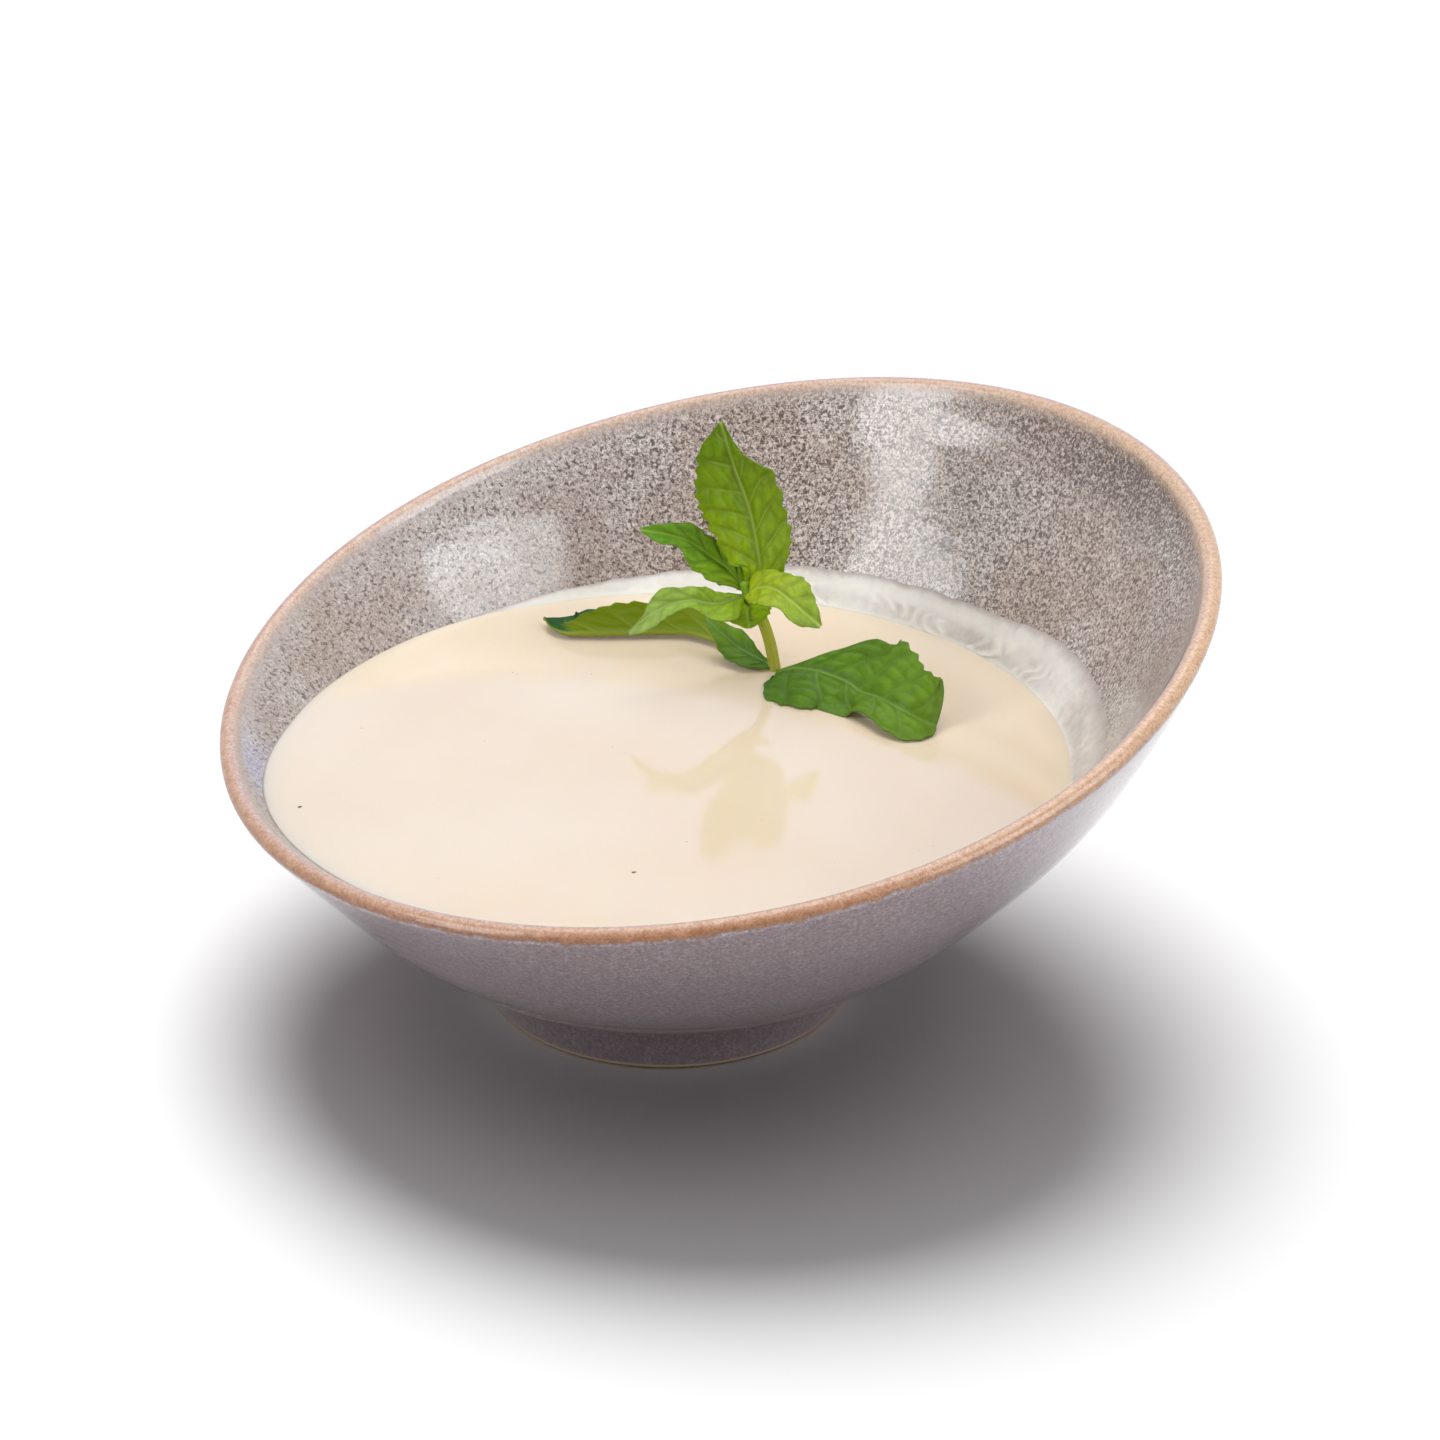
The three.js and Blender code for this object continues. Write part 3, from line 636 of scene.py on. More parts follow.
# Worm-like wrinkles run across the film behind the sauce, where it is thickest. They are the ridges of
# a warped wave, and fade out to both ends and towards the top.
warp = 1.3 * np.sin(height / 1.3 + 1.9 * np.sin(along / 5.1)) + 0.9 * np.sin(along / 3.7 - height / 0.8)
ridges = 1 - np.abs(np.sin(along / WRINKLE + warp)) ** 0.6
broken = smoothstep(np.sin(along / 2.9 + 2 * np.sin(height / 1.7 + along / 11)), -0.4, 0.5)
degrees = np.degrees(angle)
wrinkled = smoothstep(degrees, 66, 84) * (1 - smoothstep(degrees, 122, 140)) + 0.15
wrinkled = wrinkled * smoothstep(part, 0.05, 0.15) * (1 - smoothstep(part, 0.4, 0.68))
waves = 0.12 * np.sin(along / 4.6 + 1.7 * np.sin(height / 2.3)) * np.sin(height / 1.6 + along / 9)
full = smoothstep(film_top(angle), 0, 1.5)
thickness = FILM_THICKNESS * full * (1 - part**6) * (0.85 + waves + 1.1 * ridges * broken * wrinkled)
thickness = thickness - 0.06 * part**4 + 0.2 * full * np.exp(-(((height - SAUCE_LEVEL) / 0.5) ** 2))
wall = inside_radius(height, angle)
front = round_axis(wall - thickness, angle, height)
back = round_axis(wall + FILM_BACK, angle, height)
film_points = np.concatenate([front.reshape(-1, 3), back.reshape(-1, 3)])
# How pale the film looks. It is paler where it is thicker, since less glaze shows through. It is painted
# darker over the wrinkles as painted shade. A factor that rises from 0.45 below 55 degrees to 1.1 past 85
# degrees round the bowl is painted light, which makes the film paler on the right, where the key light
# reaches it less.
film_cover_and_painted_light = (thickness / FILM_THICKNESS - 0.35 * wrinkled) * (0.45 + 0.65 * smoothstep(degrees, 55, 85))
film_cover_and_painted_light = np.tile(film_cover_and_painted_light.ravel(), 2)

# The same sauce spread so thin that the grey glaze shows through it: paler and greyer than the pool. On top
# of this its tone holds painted shade and light: darker over the wrinkles and in their grooves, and lighter
# towards the right of the bowl, where little light reaches the film.
film_cream = new_material("thin_tahini_film")
place = add_node(film_cream, "TexCoord")
streaks = add_node(
    film_cream, "TexNoise",
    {"Vector": (place, "Object"), "Scale": 1 / (2.2 * MM), "Detail": 3.0, "Roughness": 0.6},
)
# The depth attribute carries the film's thickness together with its painted shade and light.
depth = add_node(film_cream, "Attribute", attribute_name="depth")
streaked = add_node(film_cream, "Math", {0: (streaks, "Fac"), 1: 0.6, 2: -0.3}, operation="MULTIPLY_ADD")
veil_and_painted_light = add_node(film_cream, "Math", {0: (depth, "Fac"), 1: (streaked, 0)}, operation="ADD")
film_tone = add_node(
    film_cream, "ValToRGB",
    {0: (veil_and_painted_light, 0)},
    stops=[(0.0, "#BBAFA9"), (0.3, "#D3C9C2"), (0.6, "#EFE8E1"), (1.0, "#FDF6EC")],
)
film_skin = add_node(
    film_cream, "BsdfPrincipled",
    {
        "Base Color": (film_tone, "Color"), "Roughness": 0.3, "IOR": 1.46, "Subsurface Weight": 0.2,
        "Subsurface Radius": (1.0, 0.8, 0.6), "Subsurface Scale": 1.0 * MM,
    },
)
add_node(film_cream, "OutputMaterial", {"Surface": (film_skin, 0)})
film_faces = turned_round(sheet_faces(FILM_ROWS, FILM_STEPS))
film = add_piece("sauce_film", film_points, film_faces, film_cream, {"depth": film_cover_and_painted_light})
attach(film, "root")

# ---- The mint stem -------------------------------------------------------------------------------
# A cut mint shoot: a square stem with rounded corners, as all mints have, yellow-green and faintly
# furrowed, that stands in the sauce and swells at the joint where two pairs of leaves leave it.
SPRIG_TURN = math.radians(53.8)
STEM_PATH = [(0.4, 0, -7), (0, 0, 0), (-2.4, 0, 10.5), (-5, 0, 15.8), (-5.8, 0.2, 18.4)]
STEM_RADIUS = 1.12
STEM_ROWS = 90
STEM_STEPS = 40


def sprig_place(points):
    """Points of the sprig, x along its longest leaf and z up from the sauce, turned and moved to
    where the stem leaves the sauce."""
    x, y, z = np.moveaxis(points, -1, 0)
    cosine, sine = math.cos(SPRIG_TURN), math.sin(SPRIG_TURN)
    return np.stack([
        STEM_FOOT[0] + x * cosine - y * sine,
        STEM_FOOT[1] + x * sine + y * cosine,
        SAUCE_LEVEL + z,
    ], -1)


def path_curve(points):
    """A smooth path through points, told by the share of its length."""
    points = np.array(points, float)
    lengths = np.concatenate([[0], np.cumsum(np.linalg.norm(np.diff(points, axis=0), axis=1))])
    return smooth_curve(lengths / lengths[-1], points)


def unit(vectors):
    """Vectors made one long."""
    return vectors / np.linalg.norm(vectors, axis=-1, keepdims=True)


def heading(path, t):
    """Direction of a path at shares t of its length, over a short step to both sides."""
    step = 0.02
    return unit(path(np.minimum(t + step, 1)) - path(np.maximum(t - step, 0)))


path = path_curve(STEM_PATH)
t = np.linspace(0, 1, STEM_ROWS)
forward = heading(path, t)
across = unit(np.cross(forward, [0, 1, 0]))
upward = np.cross(across, forward)
turn = np.linspace(0, 2 * math.pi, STEM_STEPS, endpoint=False)
# A square with round corners: the radius grows towards the four corners. The stem thickens at the joint.
square = 1 + 0.10 * np.cos(4 * turn) - 0.03 * np.cos(8 * turn)
joint = 1 + 0.28 * np.exp(-(((t - 0.86) / 0.06) ** 2)) - 0.12 * t
bar = STEM_RADIUS * square * joint[:, None]
points = path(t)[:, None] + bar[..., None] * (
    np.cos(turn)[:, None] * across[:, None] + np.sin(turn)[:, None] * upward[:, None]
)
ends = path(np.array([0.0, 1.0])) + forward[[0, -1]] * [[-0.3], [0.4]]
stem_points = sprig_place(np.concatenate([points.reshape(-1, 3), ends]))
stem_along = np.concatenate([np.repeat(t, STEM_STEPS), [0, 1]])

# Juicy green stalk: waxy, so half matt, and a little light comes through its edges.
stalk = new_material("mint_stalk")
place = add_node(stalk, "TexCoord")
along_stem = add_node(stalk, "Attribute", attribute_name="along")
fibres = add_node(stalk, "TexNoise", {"Vector": (place, "Object"), "Scale": 1 / (0.7 * MM), "Detail": 2.0})
stalk_tone = add_node(
    stalk, "ValToRGB",
    {0: (along_stem, "Fac")},
    stops=[(0.25, "#B0AE45"), (0.55, "#A9AC35"), (0.8, "#94AC2E"), (1.0, "#8AAE2A")],
)
stalk_bump = add_node(stalk, "Bump", {"Height": (fibres, "Fac"), "Strength": 0.3, "Distance": 0.15 * MM})
stalk_skin = add_node(
    stalk, "BsdfPrincipled",
    {
        "Base Color": (stalk_tone, "Color"), "Roughness": 0.42, "IOR": 1.42, "Normal": (stalk_bump, 0),
        "Subsurface Weight": 0.3, "Subsurface Radius": (0.8, 1.0, 0.3), "Subsurface Scale": 0.8 * MM,
    },
)
add_node(stalk, "OutputMaterial", {"Surface": (stalk_skin, 0)})
stem_faces = capped_faces(STEM_ROWS, STEM_STEPS)
stem = add_piece("mint_stem", stem_points, stem_faces, stalk, {"along": stem_along})
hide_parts("mint_sprig")
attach(stem, "root")

# ---- The mint leaves -----------------------------------------------------------------------------
# Thin toothed leaves whose blade puffs up in blisters between its sunken veins. Each grows from the
# stem's joint or its foot: two pairs stand at the top, and three older leaves lie on the sauce.
LEAF_THICKNESS = 0.32
LEAF_END_WIDTH = 0.4
LEAF_CLEARANCE = 0.35
LEAF_EASE = 0.5
LEAF_COLUMNS = 64
ROWS_PER_TOOTH = 12
BLISTER = 2.3  # mm from one blister of the blade to the next, between two side veins


def along_leaf(t, values):
    """Values at equal steps from a leaf's base to its tip, as a smooth curve at t."""
    return smooth_curve(np.linspace(0, 1, len(values)), values)(t)


def leaf_half_width(leaf, t, v):
    """Half width of a leaf on the side that v is on, at t along its rib."""
    tips = leaf.get("tips", (LEAF_END_WIDTH, LEAF_END_WIDTH))
    left = along_leaf(t, [LEAF_END_WIDTH, *leaf["left"], tips[0]])
    right = along_leaf(t, [LEAF_END_WIDTH, *leaf["right"], tips[1]])
    return np.maximum(np.where(v > 0, right, left), LEAF_END_WIDTH)


def leaf_relief(leaf, t, v, half):
    """How far the blade puffs up in mm, how near a vein is, 1 on it and 0 away from it, and how high on
    a blister, 0 to 1. Side veins leave the rib at equal steps and sweep towards the tip. The blade
    sinks along them and along the rib, and rises between in a row of blisters."""
    out = np.abs(v)
    phase = leaf["side_veins"] * (t - 0.16 * out**0.8) + np.where(v > 0, 0.5, 0)
    phase = phase + 0.12 * np.sin(5 * t + 3 * v)
    row = np.floor(phase)
    from_side = 1 - np.abs(phase - row - 0.5) * 2
    between = 1 - np.exp(-((from_side / 0.3) ** 2))
    along_vein = out * half / BLISTER + 0.5 * row + 0.3 * np.sin(19 * t + 2 * row)
    blister = between * (0.35 + 0.65 * np.abs(np.sin(math.pi * along_vein)) ** 0.7)
    blister = blister * smoothstep(out, 0.02, 0.2) * (1 - 0.6 * smoothstep(out, 0.75, 1))
    blister = blister * smoothstep(t, 0, 0.08) * (1 - smoothstep(t, 0.9, 1))
    rib = np.exp(-((out * half / 0.27) ** 2))
    side = np.exp(-((from_side / 0.07) ** 2)) * (1 - smoothstep(out, 0.35, 0.9))
    puff = leaf["quilt"] * blister * smoothstep(half, 0.5, 3) - 0.25 * np.exp(-((out * half / 0.6) ** 2))
    return puff, np.maximum(rib, 0.5 * side), blister


def leaf_point(leaf, t, v):
    """A point of a leaf's upper face, t from its base to its tip and v from its left edge, -1, to its
    right, 1. The rib's point, plus the half width there times |v| out along the folded half, less the
    base lobes' reach back, and its height eased up to lie on the sauce. Teeth lean to the tip. Each
    crease is a valley across one side: its place along the rib, side, width and depth."""
    path = path_curve(leaf["rib"])
    faces = np.array([unit(np.array(face, float)) for face in leaf["faces"]])
    look = np.stack([np.interp(t, np.linspace(0, 1, len(faces)), faces[:, k]) for k in range(3)], -1)
    along = heading(path, t)
    up = unit(look - (look * along).sum(-1, keepdims=True) * along)
    across = np.cross(along, up)
    out = np.abs(v)
    half = leaf_half_width(leaf, t, v)
    saw = (leaf["teeth"] * (t - 0.05 * np.sin(7 * t + 2 * v))) % 1
    tooth = 1 + leaf["tooth"] * (1 - 2 * np.where(saw < 0.7, saw / 0.7, (1 - saw) / 0.3)) * -(out**6)
    width = half * tooth * out
    fold = np.where(v > 0, *[along_leaf(t, folds) for folds in reversed(leaf["folds"])])
    fold = np.radians(fold)
    puff, vein, blister = leaf_relief(leaf, t, v, half)
    ruffle = leaf.get("ruffle", 0.25) * np.sin(2 * math.pi * (leaf["teeth"] / 3 * t + 0.3 * v)) * out**3
    lift = width * np.sin(fold) + (puff + ruffle) * smoothstep(half, 0.5, 2.5)
    for place, side, spread, depth in leaf.get("creases", []):
        valley = np.exp(-(((t - place - 0.04 * out) / spread) ** 2)) * smoothstep(v * side, 0.05, 0.7)
        lift = lift - depth * valley
    point = path(t) + (np.sign(v) * width * np.cos(fold))[..., None] * across + lift[..., None] * up
    lobe = np.where(v > 0, 1, 0) * leaf.get("lobe", 0) * (1 - t) ** 4 * smoothstep(half, 0.5, 5)
    blunt = leaf.get("blunt", 0) * t**20 * out**3
    point = point - ((lobe + blunt) * out)[..., None] * along
    over = point[..., 2] - LEAF_CLEARANCE
    point[..., 2] = LEAF_CLEARANCE + (over + np.hypot(over, LEAF_EASE)) / 2
    return point, vein, blister


def leaf_mesh(leaf):
    """Points, faces, attributes and uv of a closed leaf: its upper face, a lower face one thickness
    under it, split alike, and the strip that joins them round the edge."""
    rows = ROWS_PER_TOOTH * leaf["teeth"] + 1
    columns = LEAF_COLUMNS + 1
    t, v = np.meshgrid(np.linspace(0, 1, rows), np.linspace(-1, 1, columns), indexing="ij")
    upper, vein, blister = leaf_point(leaf, t, v)
    normal = unit(np.cross(np.gradient(upper, axis=1), np.gradient(upper, axis=0)))
    lower = upper - LEAF_THICKNESS * normal
    points = sprig_place(np.concatenate([upper.reshape(-1, 3), lower.reshape(-1, 3)]))
    turned = leaf.get("turned", 1.1)
    pale_side = 1 - smoothstep(t + 0.05 * v, turned, turned + 0.05)
    attributes = {
        "vein": np.tile(vein.ravel(), 2),
        "blister": np.tile(blister.ravel(), 2),
        "under": np.concatenate([np.zeros(t.size), pale_side.ravel()]),
        "along": np.tile(t.ravel(), 2),
    }
    uv = np.tile(np.stack([v.ravel() / 2 + 0.5, t.ravel()], -1), (2, 1))
    return points, sheet_faces(rows, columns), attributes, uv


def leaf_material(name, base, tip, underside, vein):
    """Living mint leaf: a waxy upper face that is half glossy, a paler and duller underside, pale veins,
    painted shade that darkens the creases between the blisters and a little painted light on their crests,
    and light that comes through the blade. Its colour runs from its base to its tip."""
    material = new_material(name)
    place = add_node(material, "TexCoord")
    along, under, near_vein, on_blister = [
        add_node(material, "Attribute", attribute_name=key)
        for key in ("along", "under", "vein", "blister")
    ]
    blotches = add_node(
        material, "TexNoise",
        {"Vector": (place, "Object"), "Scale": 1 / (2.2 * MM), "Detail": 3.0, "Roughness": 0.6},
    )
    mottle = add_node(
        material, "MapRange",
        {"Value": (blotches, "Fac"), "From Min": 0.3, "From Max": 0.7, "To Min": 0.8, "To Max": 1.18},
    )
    # Painted shade and light: the random mottle is multiplied by a factor that darkens the blade in the
    # creases between the blisters and lightens it a little on their crests.
    crease = add_node(material, "MapRange", {"Value": (on_blister, "Fac"), "To Min": 0.84, "To Max": 1.06})
    mottle_and_painted_shade = add_node(material, "Math", {0: (mottle, 0), 1: (crease, 0)}, operation="MULTIPLY")
    blade = add_node(
        material, "Mix", {0: (along, "Fac"), 6: colour(base), 7: colour(tip)}, data_type="RGBA"
    )
    shaded = add_node(material, "VectorMath", {0: (blade, 2), "Scale": (mottle_and_painted_shade, 0)}, operation="SCALE")
    surface = (shaded, 0)
    for mask, coat in [(under, underside), (near_vein, vein)]:
        layer = add_node(material, "Mix", {0: (mask, "Fac"), 6: surface, 7: colour(coat)}, data_type="RGBA")
        surface = (layer, 2)
    # The net of tiny veins, about a millimetre apart, quilts the blade.
    net = add_node(
        material, "TexVoronoi",
        {"Vector": (place, "Object"), "Scale": 1 / (1.1 * MM)},
        feature="DISTANCE_TO_EDGE",
    )
    quilt = add_node(
        material, "Bump", {"Height": (net, "Distance"), "Strength": 0.28, "Distance": 0.14 * MM}
    )
    skin = add_node(
        material, "BsdfPrincipled",
        {
            "Base Color": surface, "Roughness": 0.4, "IOR": 1.42, "Specular IOR Level": 0.3,
            "Normal": (quilt, 0),
        },
    )
    glow = add_node(material, "BsdfTranslucent", {"Color": surface, "Normal": (quilt, 0)})
    leaf = add_node(material, "MixShader", {0: 0.3, 1: (skin, 0), 2: (glow, 0)})
    add_node(material, "OutputMaterial", {"Surface": (leaf, 0)})
    return material


LEAVES = {
    "mint_top_leaf": {
        "rib": [
            (-5.6, 0, 17), (-3.1, 1, 20.8), (-3.5, 2.4, 24.5), (-5, 5, 31.3), (-7.8, 7, 38.9),
            (-10.3, 8, 47.3),
        ],
        "faces": [(0, -1, 0.2), (-0.1, -1, 0.3)],
        "left": [3.6, 6, 7.2, 8.2, 8.8, 8.4, 7, 5.2],
        "right": [3.9, 6.8, 7.8, 7.5, 7.8, 7.2, 3.4, 1.4],
        "folds": ([12, 12], [30, 30]),
        "teeth": 12, "tooth": 0.055, "quilt": 0.35, "side_veins": 7,
        "colours": ("#A2C01A", "#6E900C", "#8BA84A", "#BCD262"),
    },
    "mint_side_leaf": {
        "rib": [
            (-5.8, 0, 17), (-8.4, 2, 19.8), (-12.3, 4, 22.2), (-16.8, 5, 25), (-20.9, 6, 25.8),
            (-25.2, 6, 26.6),
        ],
        "faces": [(0, -0.8, 0.6), (0, -0.9, 0.4)],
        "left": [3.6, 4.2, 4, 1.9, 2],
        "right": [2.6, 3.4, 3.1, 3.1, 1.9],
        "folds": ([15, 15], [25, 25]),
        "teeth": 9, "tooth": 0.06, "quilt": 0.5, "side_veins": 6,
        "colours": ("#87A408", "#73AE31", "#8BA84A", "#A6CC50"),
    },
    "mint_hanging_leaf": {
        "rib": [
            (-6, 0, 15.6), (-11.5, -3, 15.6), (-16, -6, 17.6), (-20.8, -8, 17.2), (-24.3, -10, 15.4),
            (-27.3, -10, 12.5),
        ],
        "faces": [(0, -0.5, 0.85), (-0.2, -0.8, 0.5), (-0.6, -0.6, 0.2)],
        "left": [5.2, 3.2, 1.6, 2.3, 2.6],
        "right": [2, 2.6, 2.5, 2.9, 0.9],
        "folds": ([15, 15], [20, 20]),
        "teeth": 9, "tooth": 0.04, "quilt": 0.25, "side_veins": 6,
        "colours": ("#A8CB14", "#A7C268", "#8BA84A", "#BAD478"),
    },
    "mint_front_leaf": {
        "rib": [
            (-5.9, 0, 16), (-3.5, -3, 18.7), (-0.6, -7, 20.4), (2.5, -11, 19.8), (5.2, -12.5, 17.9),
            (8.1, -13, 15.3),
        ],
        "faces": [(0, -0.6, 0.8), (0.1, -0.8, 0.5), (0.4, -0.9, 0.1)],
        "left": [2.9, 3.4, 3.7, 4.6, 2.9],
        "right": [3, 4.2, 4.6, 2.8, 3],
        "folds": ([10, 10], [15, 15]),
        "teeth": 8, "tooth": 0.05, "quilt": 0.3, "side_veins": 6,
        "colours": ("#D2E020", "#9EC04C", "#8BA84A", "#D2E670"),
    },
    "mint_bud_leaf": {
        "rib": [(-5, 0, 15), (-5.2, -3, 13.2), (-5, -4, 10.8)],
        "faces": [(0, -0.8, 0.6), (0, -1, 0.2)],
        "left": [3.6, 4.2, 3.2],
        "right": [3.6, 4.4, 3.4],
        "folds": ([10, 10], [10, 10]),
        "teeth": 5, "tooth": 0.05, "quilt": 0.25, "side_veins": 3,
        "colours": ("#B4D218", "#93BE18", "#8BA84A", "#BEDA54"),
    },
    "mint_long_leaf": {
        "rib": [
            (-0.3, 0, 1.1), (-6.6, 6.6, 1.1), (-12.5, 12.3, 1.2), (-16.2, 14.2, 1.4),
            (-21.2, 14.8, 1.3), (-28, 14.6, 1.2), (-35.5, 14.3, 1.2), (-40.1, 14.6, 1.2),
            (-42.5, 16.4, 1.2), (-44.6, 21.3, 1.3),
        ],
        "faces": [(-0.3, 1, 0.1), (0, 1, 0.1), (0, 1, 0.1)],
        "left": [1.2, 2.6, 4.4, 6.2, 6.2, 5, 1.6],
        "right": [1.2, 2.4, 5.4, 6.7, 6.6, 6.4, 5.2],
        "folds": ([50, 50], [106, 106]),
        "teeth": 12, "tooth": 0.05, "quilt": 0.3, "side_veins": 7,
        "turned": 0.8,
        "colours": ("#498414", "#2A622B", "#83980F", "#B0BC48"),
    },
    "mint_dark_leaf": {
        "rib": [(-0.4, -0.3, 1.1), (-7, 5.2, 3), (-13.1, 9.3, 7)],
        "faces": [(0.3, -0.7, 0.7), (0.3, -0.7, 0.7)],
        "left": [3.3, 4, 3.7, 2],
        "right": [1.1, 2.2, 2.8, 1.8],
        "folds": ([10, 10], [20, 20]),
        "teeth": 6, "tooth": 0.05, "quilt": 0.3, "side_veins": 4,
        "colours": ("#548012", "#86AE34", "#7E9A4A", "#8CB45C"),
    },
    "mint_broad_leaf": {
        "rib": [
            (0.1, -2.6, 1.1), (2.9, -3.9, 2.6), (6.2, -6.2, 3.6), (9.9, -8.8, 3.8), (13.6, -11.3, 3.2),
            (15.5, -13.9, 2.8), (18.3, -17.9, 3.6), (23.2, -24, 3.6), (27, -25.8, 2.2),
            (29.2, -25.8, 1.2),
        ],
        "faces": [(-0.1, -0.2, 1), (-0.1, -0.3, 0.95), (0, -0.55, 0.8)],
        "left": [1, 3.4, 7.2, 10.4, 12, 10.6, 8.6, 8.6],
        "right": [9, 10.8, 10, 9.2, 7, 5, 5.4, 6],
        "tips": (9, 4),
        "blunt": 1.5,
        "folds": ([5, 15, 22, 24, 18, 8], [0, -5, -5, 0, 0]),
        "teeth": 10, "tooth": 0.035, "quilt": 0.45, "side_veins": 6,
        "lobe": 4,
        "creases": [(0.5, 1, 0.045, 2.0)],
        # The tip colour is lighter and yellower than the base partly as painted light, for the hump past
        # the middle of the leaf that catches the light.
        "colours": ("#5C8A1C", "#7CA428", "#7E9A4A", "#88AE4C"),
    },
}
for name, leaf in LEAVES.items():
    points, faces, attributes, uv = leaf_mesh(leaf)
    blade = add_piece(name, points, faces, leaf_material(name + "_blade", *leaf["colours"]), attributes, uv)
    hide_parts("mint_sprig")
    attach(blade, "root")

# ---- The table, the light and the camera ---------------------------------------------------------
# A plain white sweep. A broad light from above and a little behind gives the soft shadow in front,
# and upright softboxes beside the camera stand in the glaze as pale bands.
FLOOR_HALF = 12.0
sweep = new_material("white_paper_sweep")
paper = add_node(sweep, "BsdfDiffuse", {"Color": colour("#F8F8F8")})
add_node(sweep, "OutputMaterial", {"Surface": (paper, 0)})
floor_points = np.array([[-1, -1, 0], [1, -1, 0], [1, 1, 0], [-1, 1, 0]]) * FLOOR_HALF / MM
floor = add_piece("table", floor_points, [np.array([[0, 1, 2, 3]])], sweep)

CAMERA_AZIMUTH = math.radians(53.8)
CAMERA_ELEVATION = math.radians(26.0)
CAMERA_DISTANCE = 0.648
CAMERA_LENS = 90
SENSOR_WIDTH = 36
LOOK_AT = Vector((5.64, -2.13, 52.90)) * MM


def towards(azimuth, elevation):
    """The direction of a place seen from the bowl: azimuth turns right from the camera's own view,
    0 lying straight behind the bowl, and elevation rises from the table. Both are in degrees."""
    turn = CAMERA_AZIMUTH - math.radians(azimuth)
    rise = math.radians(elevation)
    return Vector((-math.sin(turn) * math.cos(rise), math.cos(turn) * math.cos(rise), math.sin(rise)))


camera_data = bpy.data.cameras.new("camera")
camera_data.lens = CAMERA_LENS
camera_data.sensor_width = SENSOR_WIDTH
camera_data.clip_end = 50
camera = bpy.data.objects.new("camera", camera_data)
away = towards(180, math.degrees(CAMERA_ELEVATION))
camera.location = LOOK_AT + away * CAMERA_DISTANCE
camera.rotation_mode = "QUATERNION"
camera.rotation_quaternion = (-away).to_track_quat("-Z", "Y")
bpy.context.scene.collection.objects.link(camera)
bpy.context.scene.camera = camera

# The white tent round the table: the dish mirrors it whole, but it lights things mostly from above, so
# that little light reaches the table under the bowl.
TENT_LOW = 0.0
TENT_HIGH = 1.1
world = bpy.data.worlds.new("white_tent")
world.use_nodes = True
bpy.context.scene.world = world
tent = world.node_tree.nodes["Background"]
direction = add_node(world, "TexCoord")
skyward = add_node(world, "SeparateXYZ", {0: (direction, "Generated")})
ahead = add_node(
    world, "VectorMath", {0: (direction, "Generated"), 1: towards(0, 0)}, operation="DOT_PRODUCT"
)
# The tent is open on the side that faces the room, so the glaze mirrors a darker place there. Behind the
# bowl it is in the shade and looks blue in the wet sauce, beside it it is white.
from_above, mirrored, behind = [
    add_node(
        world, "MapRange",
        {"Value": read, "From Min": start, "From Max": end, "To Min": at_start, "To Max": at_end},
        interpolation_type="SMOOTHSTEP",
    )
    for read, (start, end), (at_start, at_end) in [
        ((skyward, "Z"), (0.75, 1), (TENT_LOW, TENT_HIGH)),
        ((ahead, "Value"), (-0.75, 0.2), (0.2, 1)),
        ((ahead, "Value"), (0.8, 0.88), (0, 1)),
    ]
]
ray = add_node(world, "LightPath")
gloss_light = add_node(world, "Mix", {0: (ray, "Is Glossy Ray"), 2: 1, 3: (mirrored, 0)})
tent_light = add_node(world, "Mix", {0: (ray, "Is Diffuse Ray"), 2: (gloss_light, 0), 3: (from_above, 0)})
world.node_tree.links.new(tent_light.outputs[0], tent.inputs["Strength"])
shaded_side = add_node(world, "Math", {0: (ray, "Is Glossy Ray"), 1: (behind, 0)}, operation="MULTIPLY")
tent_tone = add_node(
    world, "Mix", {0: (shaded_side, 0), 6: (1.0, 1.0, 1.0, 1.0), 7: (0.7, 0.93, 1.5, 1.0)}, data_type="RGBA"
)
world.node_tree.links.new(tent_tone.outputs[2], tent.inputs["Color"])

TABLE_KEY_FROM = towards(-3, 64)
DISH_KEY_FROM = towards(-10, 68)
SOFTBOX_DISTANCE = 1.2  # metres, along the table
SOFTBOX_WHITE = (0.93, 0.97, 1.0)


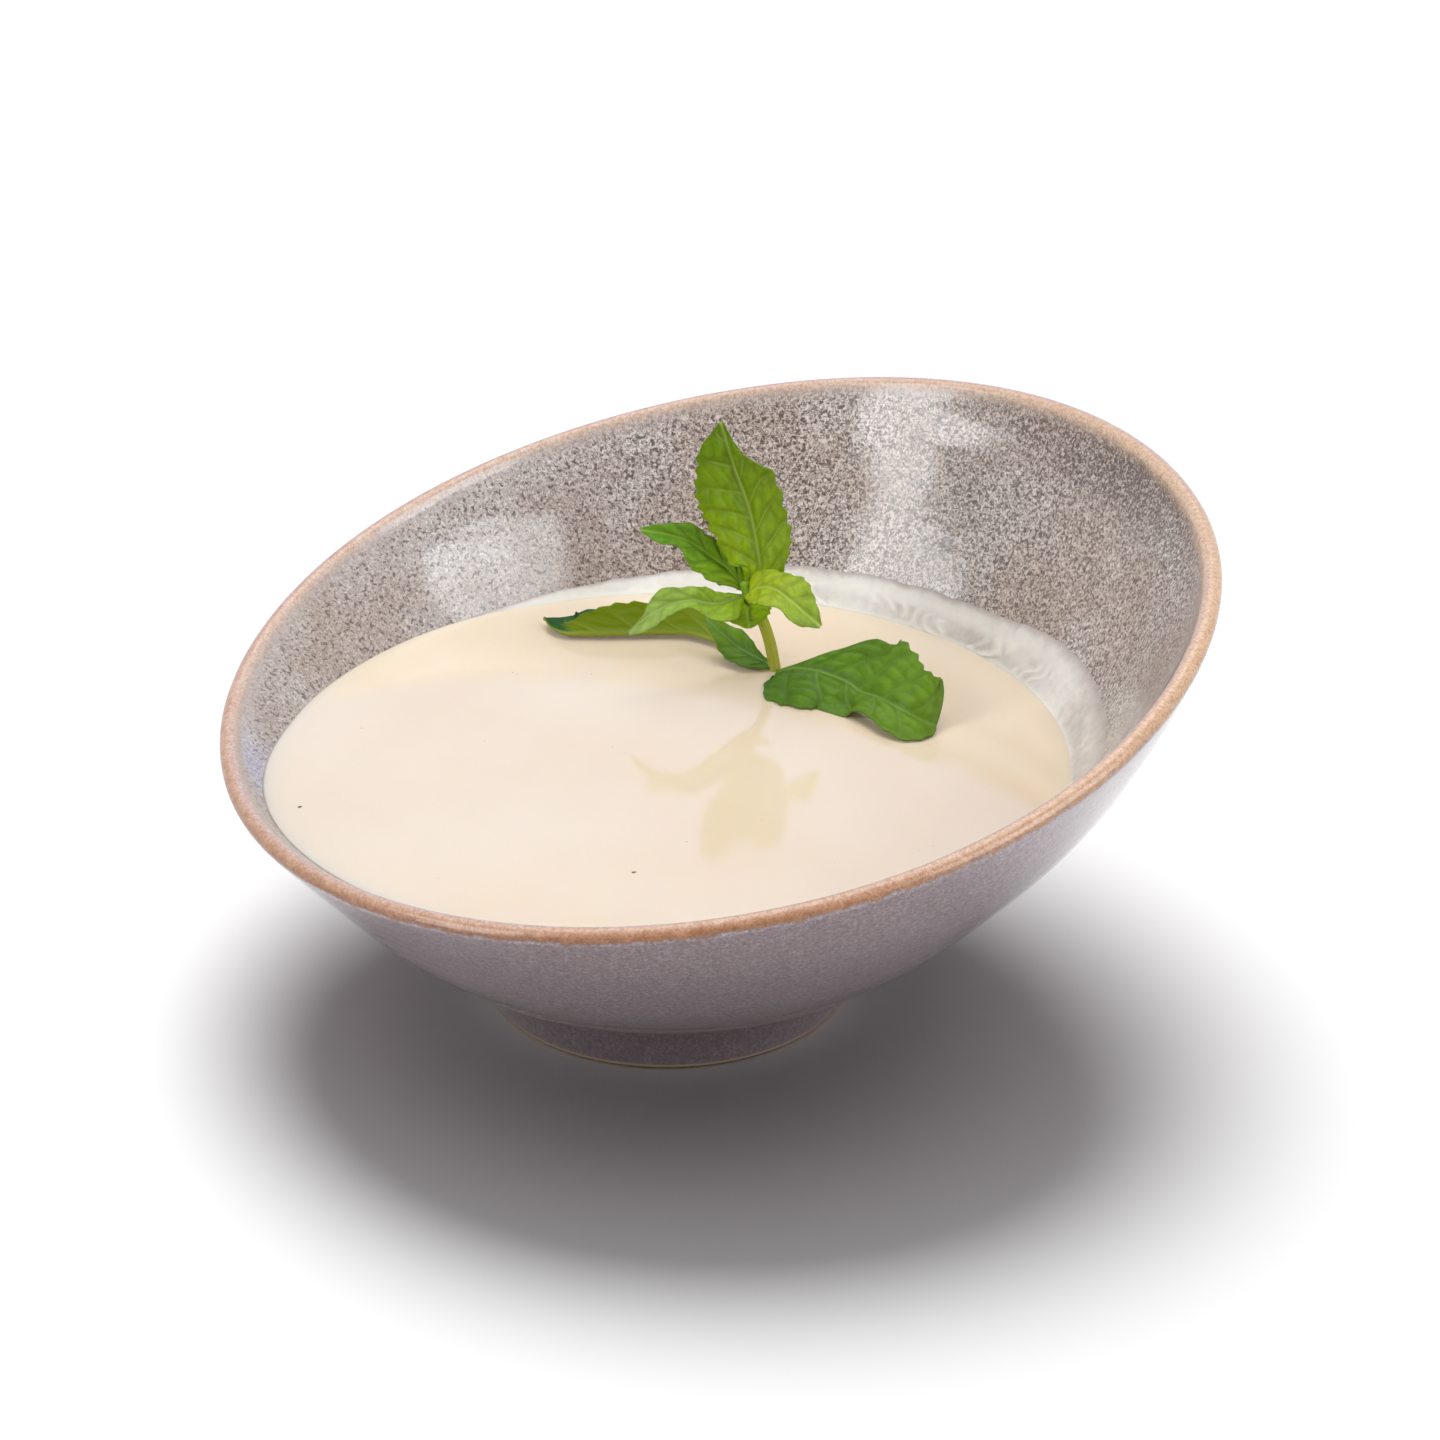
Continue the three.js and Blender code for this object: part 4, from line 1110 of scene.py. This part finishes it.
def add_light(name, kind, place, facing, **settings):
    """A lamp at a place, in metres from the point looked at, that faces along a direction."""
    lamp = bpy.data.lights.new(name, kind)
    for key, value in settings.items():
        setattr(lamp, key, value)
    holder = bpy.data.objects.new(name, lamp)
    holder.location = LOOK_AT + place
    holder.rotation_mode = "QUATERNION"
    holder.rotation_quaternion = (-facing).to_track_quat("Z", "Y")
    bpy.context.scene.collection.objects.link(holder)
    return holder


def add_softbox(name, sides, bottom_and_top, radiance):
    """An upright softbox that fills a range of azimuths, and at its middle a range of elevations, both
    in degrees. Its power is pi times its area times its radiance."""
    half = math.radians(sides[1] - sides[0]) / 2
    low, high = [SOFTBOX_DISTANCE * math.tan(math.radians(elevation)) for elevation in bottom_and_top]
    out = towards(sum(sides) / 2, 0)
    place = out * SOFTBOX_DISTANCE + Vector((0, 0, (low + high) / 2))
    width = 2 * SOFTBOX_DISTANCE * math.tan(half)
    height = high - low
    return add_light(
        name,
        "AREA",
        place,
        -out,
        energy=math.pi * width * height * radiance,
        color=SOFTBOX_WHITE,
        shape="RECTANGLE",
        size=width,
        size_y=height,
    )


table_key = add_light(
    "table_key", "SUN", TABLE_KEY_FROM, -TABLE_KEY_FROM, energy=2.85, angle=math.radians(35)
)
dish_key = add_light(
    "dish_key", "SUN", DISH_KEY_FROM, -DISH_KEY_FROM, energy=1.05, angle=math.radians(50)
)
softboxes = [
    add_softbox("right_softbox", (98, 144), (12, 52), 4.4),
    add_softbox("left_softbox", (-130, -111), (0, 28), 5.5),
    add_softbox("left_panel", (-125, -90), (28, 44), 5.0),
]
# The paper is lit more brightly than the dish, so that it stays white, and the softboxes light the dish
# alone, so that the paper keeps the one soft shadow.
paper_only = bpy.data.collections.new("paper_only")
paper_only.objects.link(floor)
dish = bpy.data.collections.new("dish")
for piece in bpy.context.scene.collection.objects:
    if piece.type == "MESH" and piece != floor:
        dish.objects.link(piece)
table_key.light_linking.receiver_collection = paper_only
for light in (dish_key, *softboxes):
    light.light_linking.receiver_collection = dish

bpy.context.scene.view_settings.view_transform = "Standard"
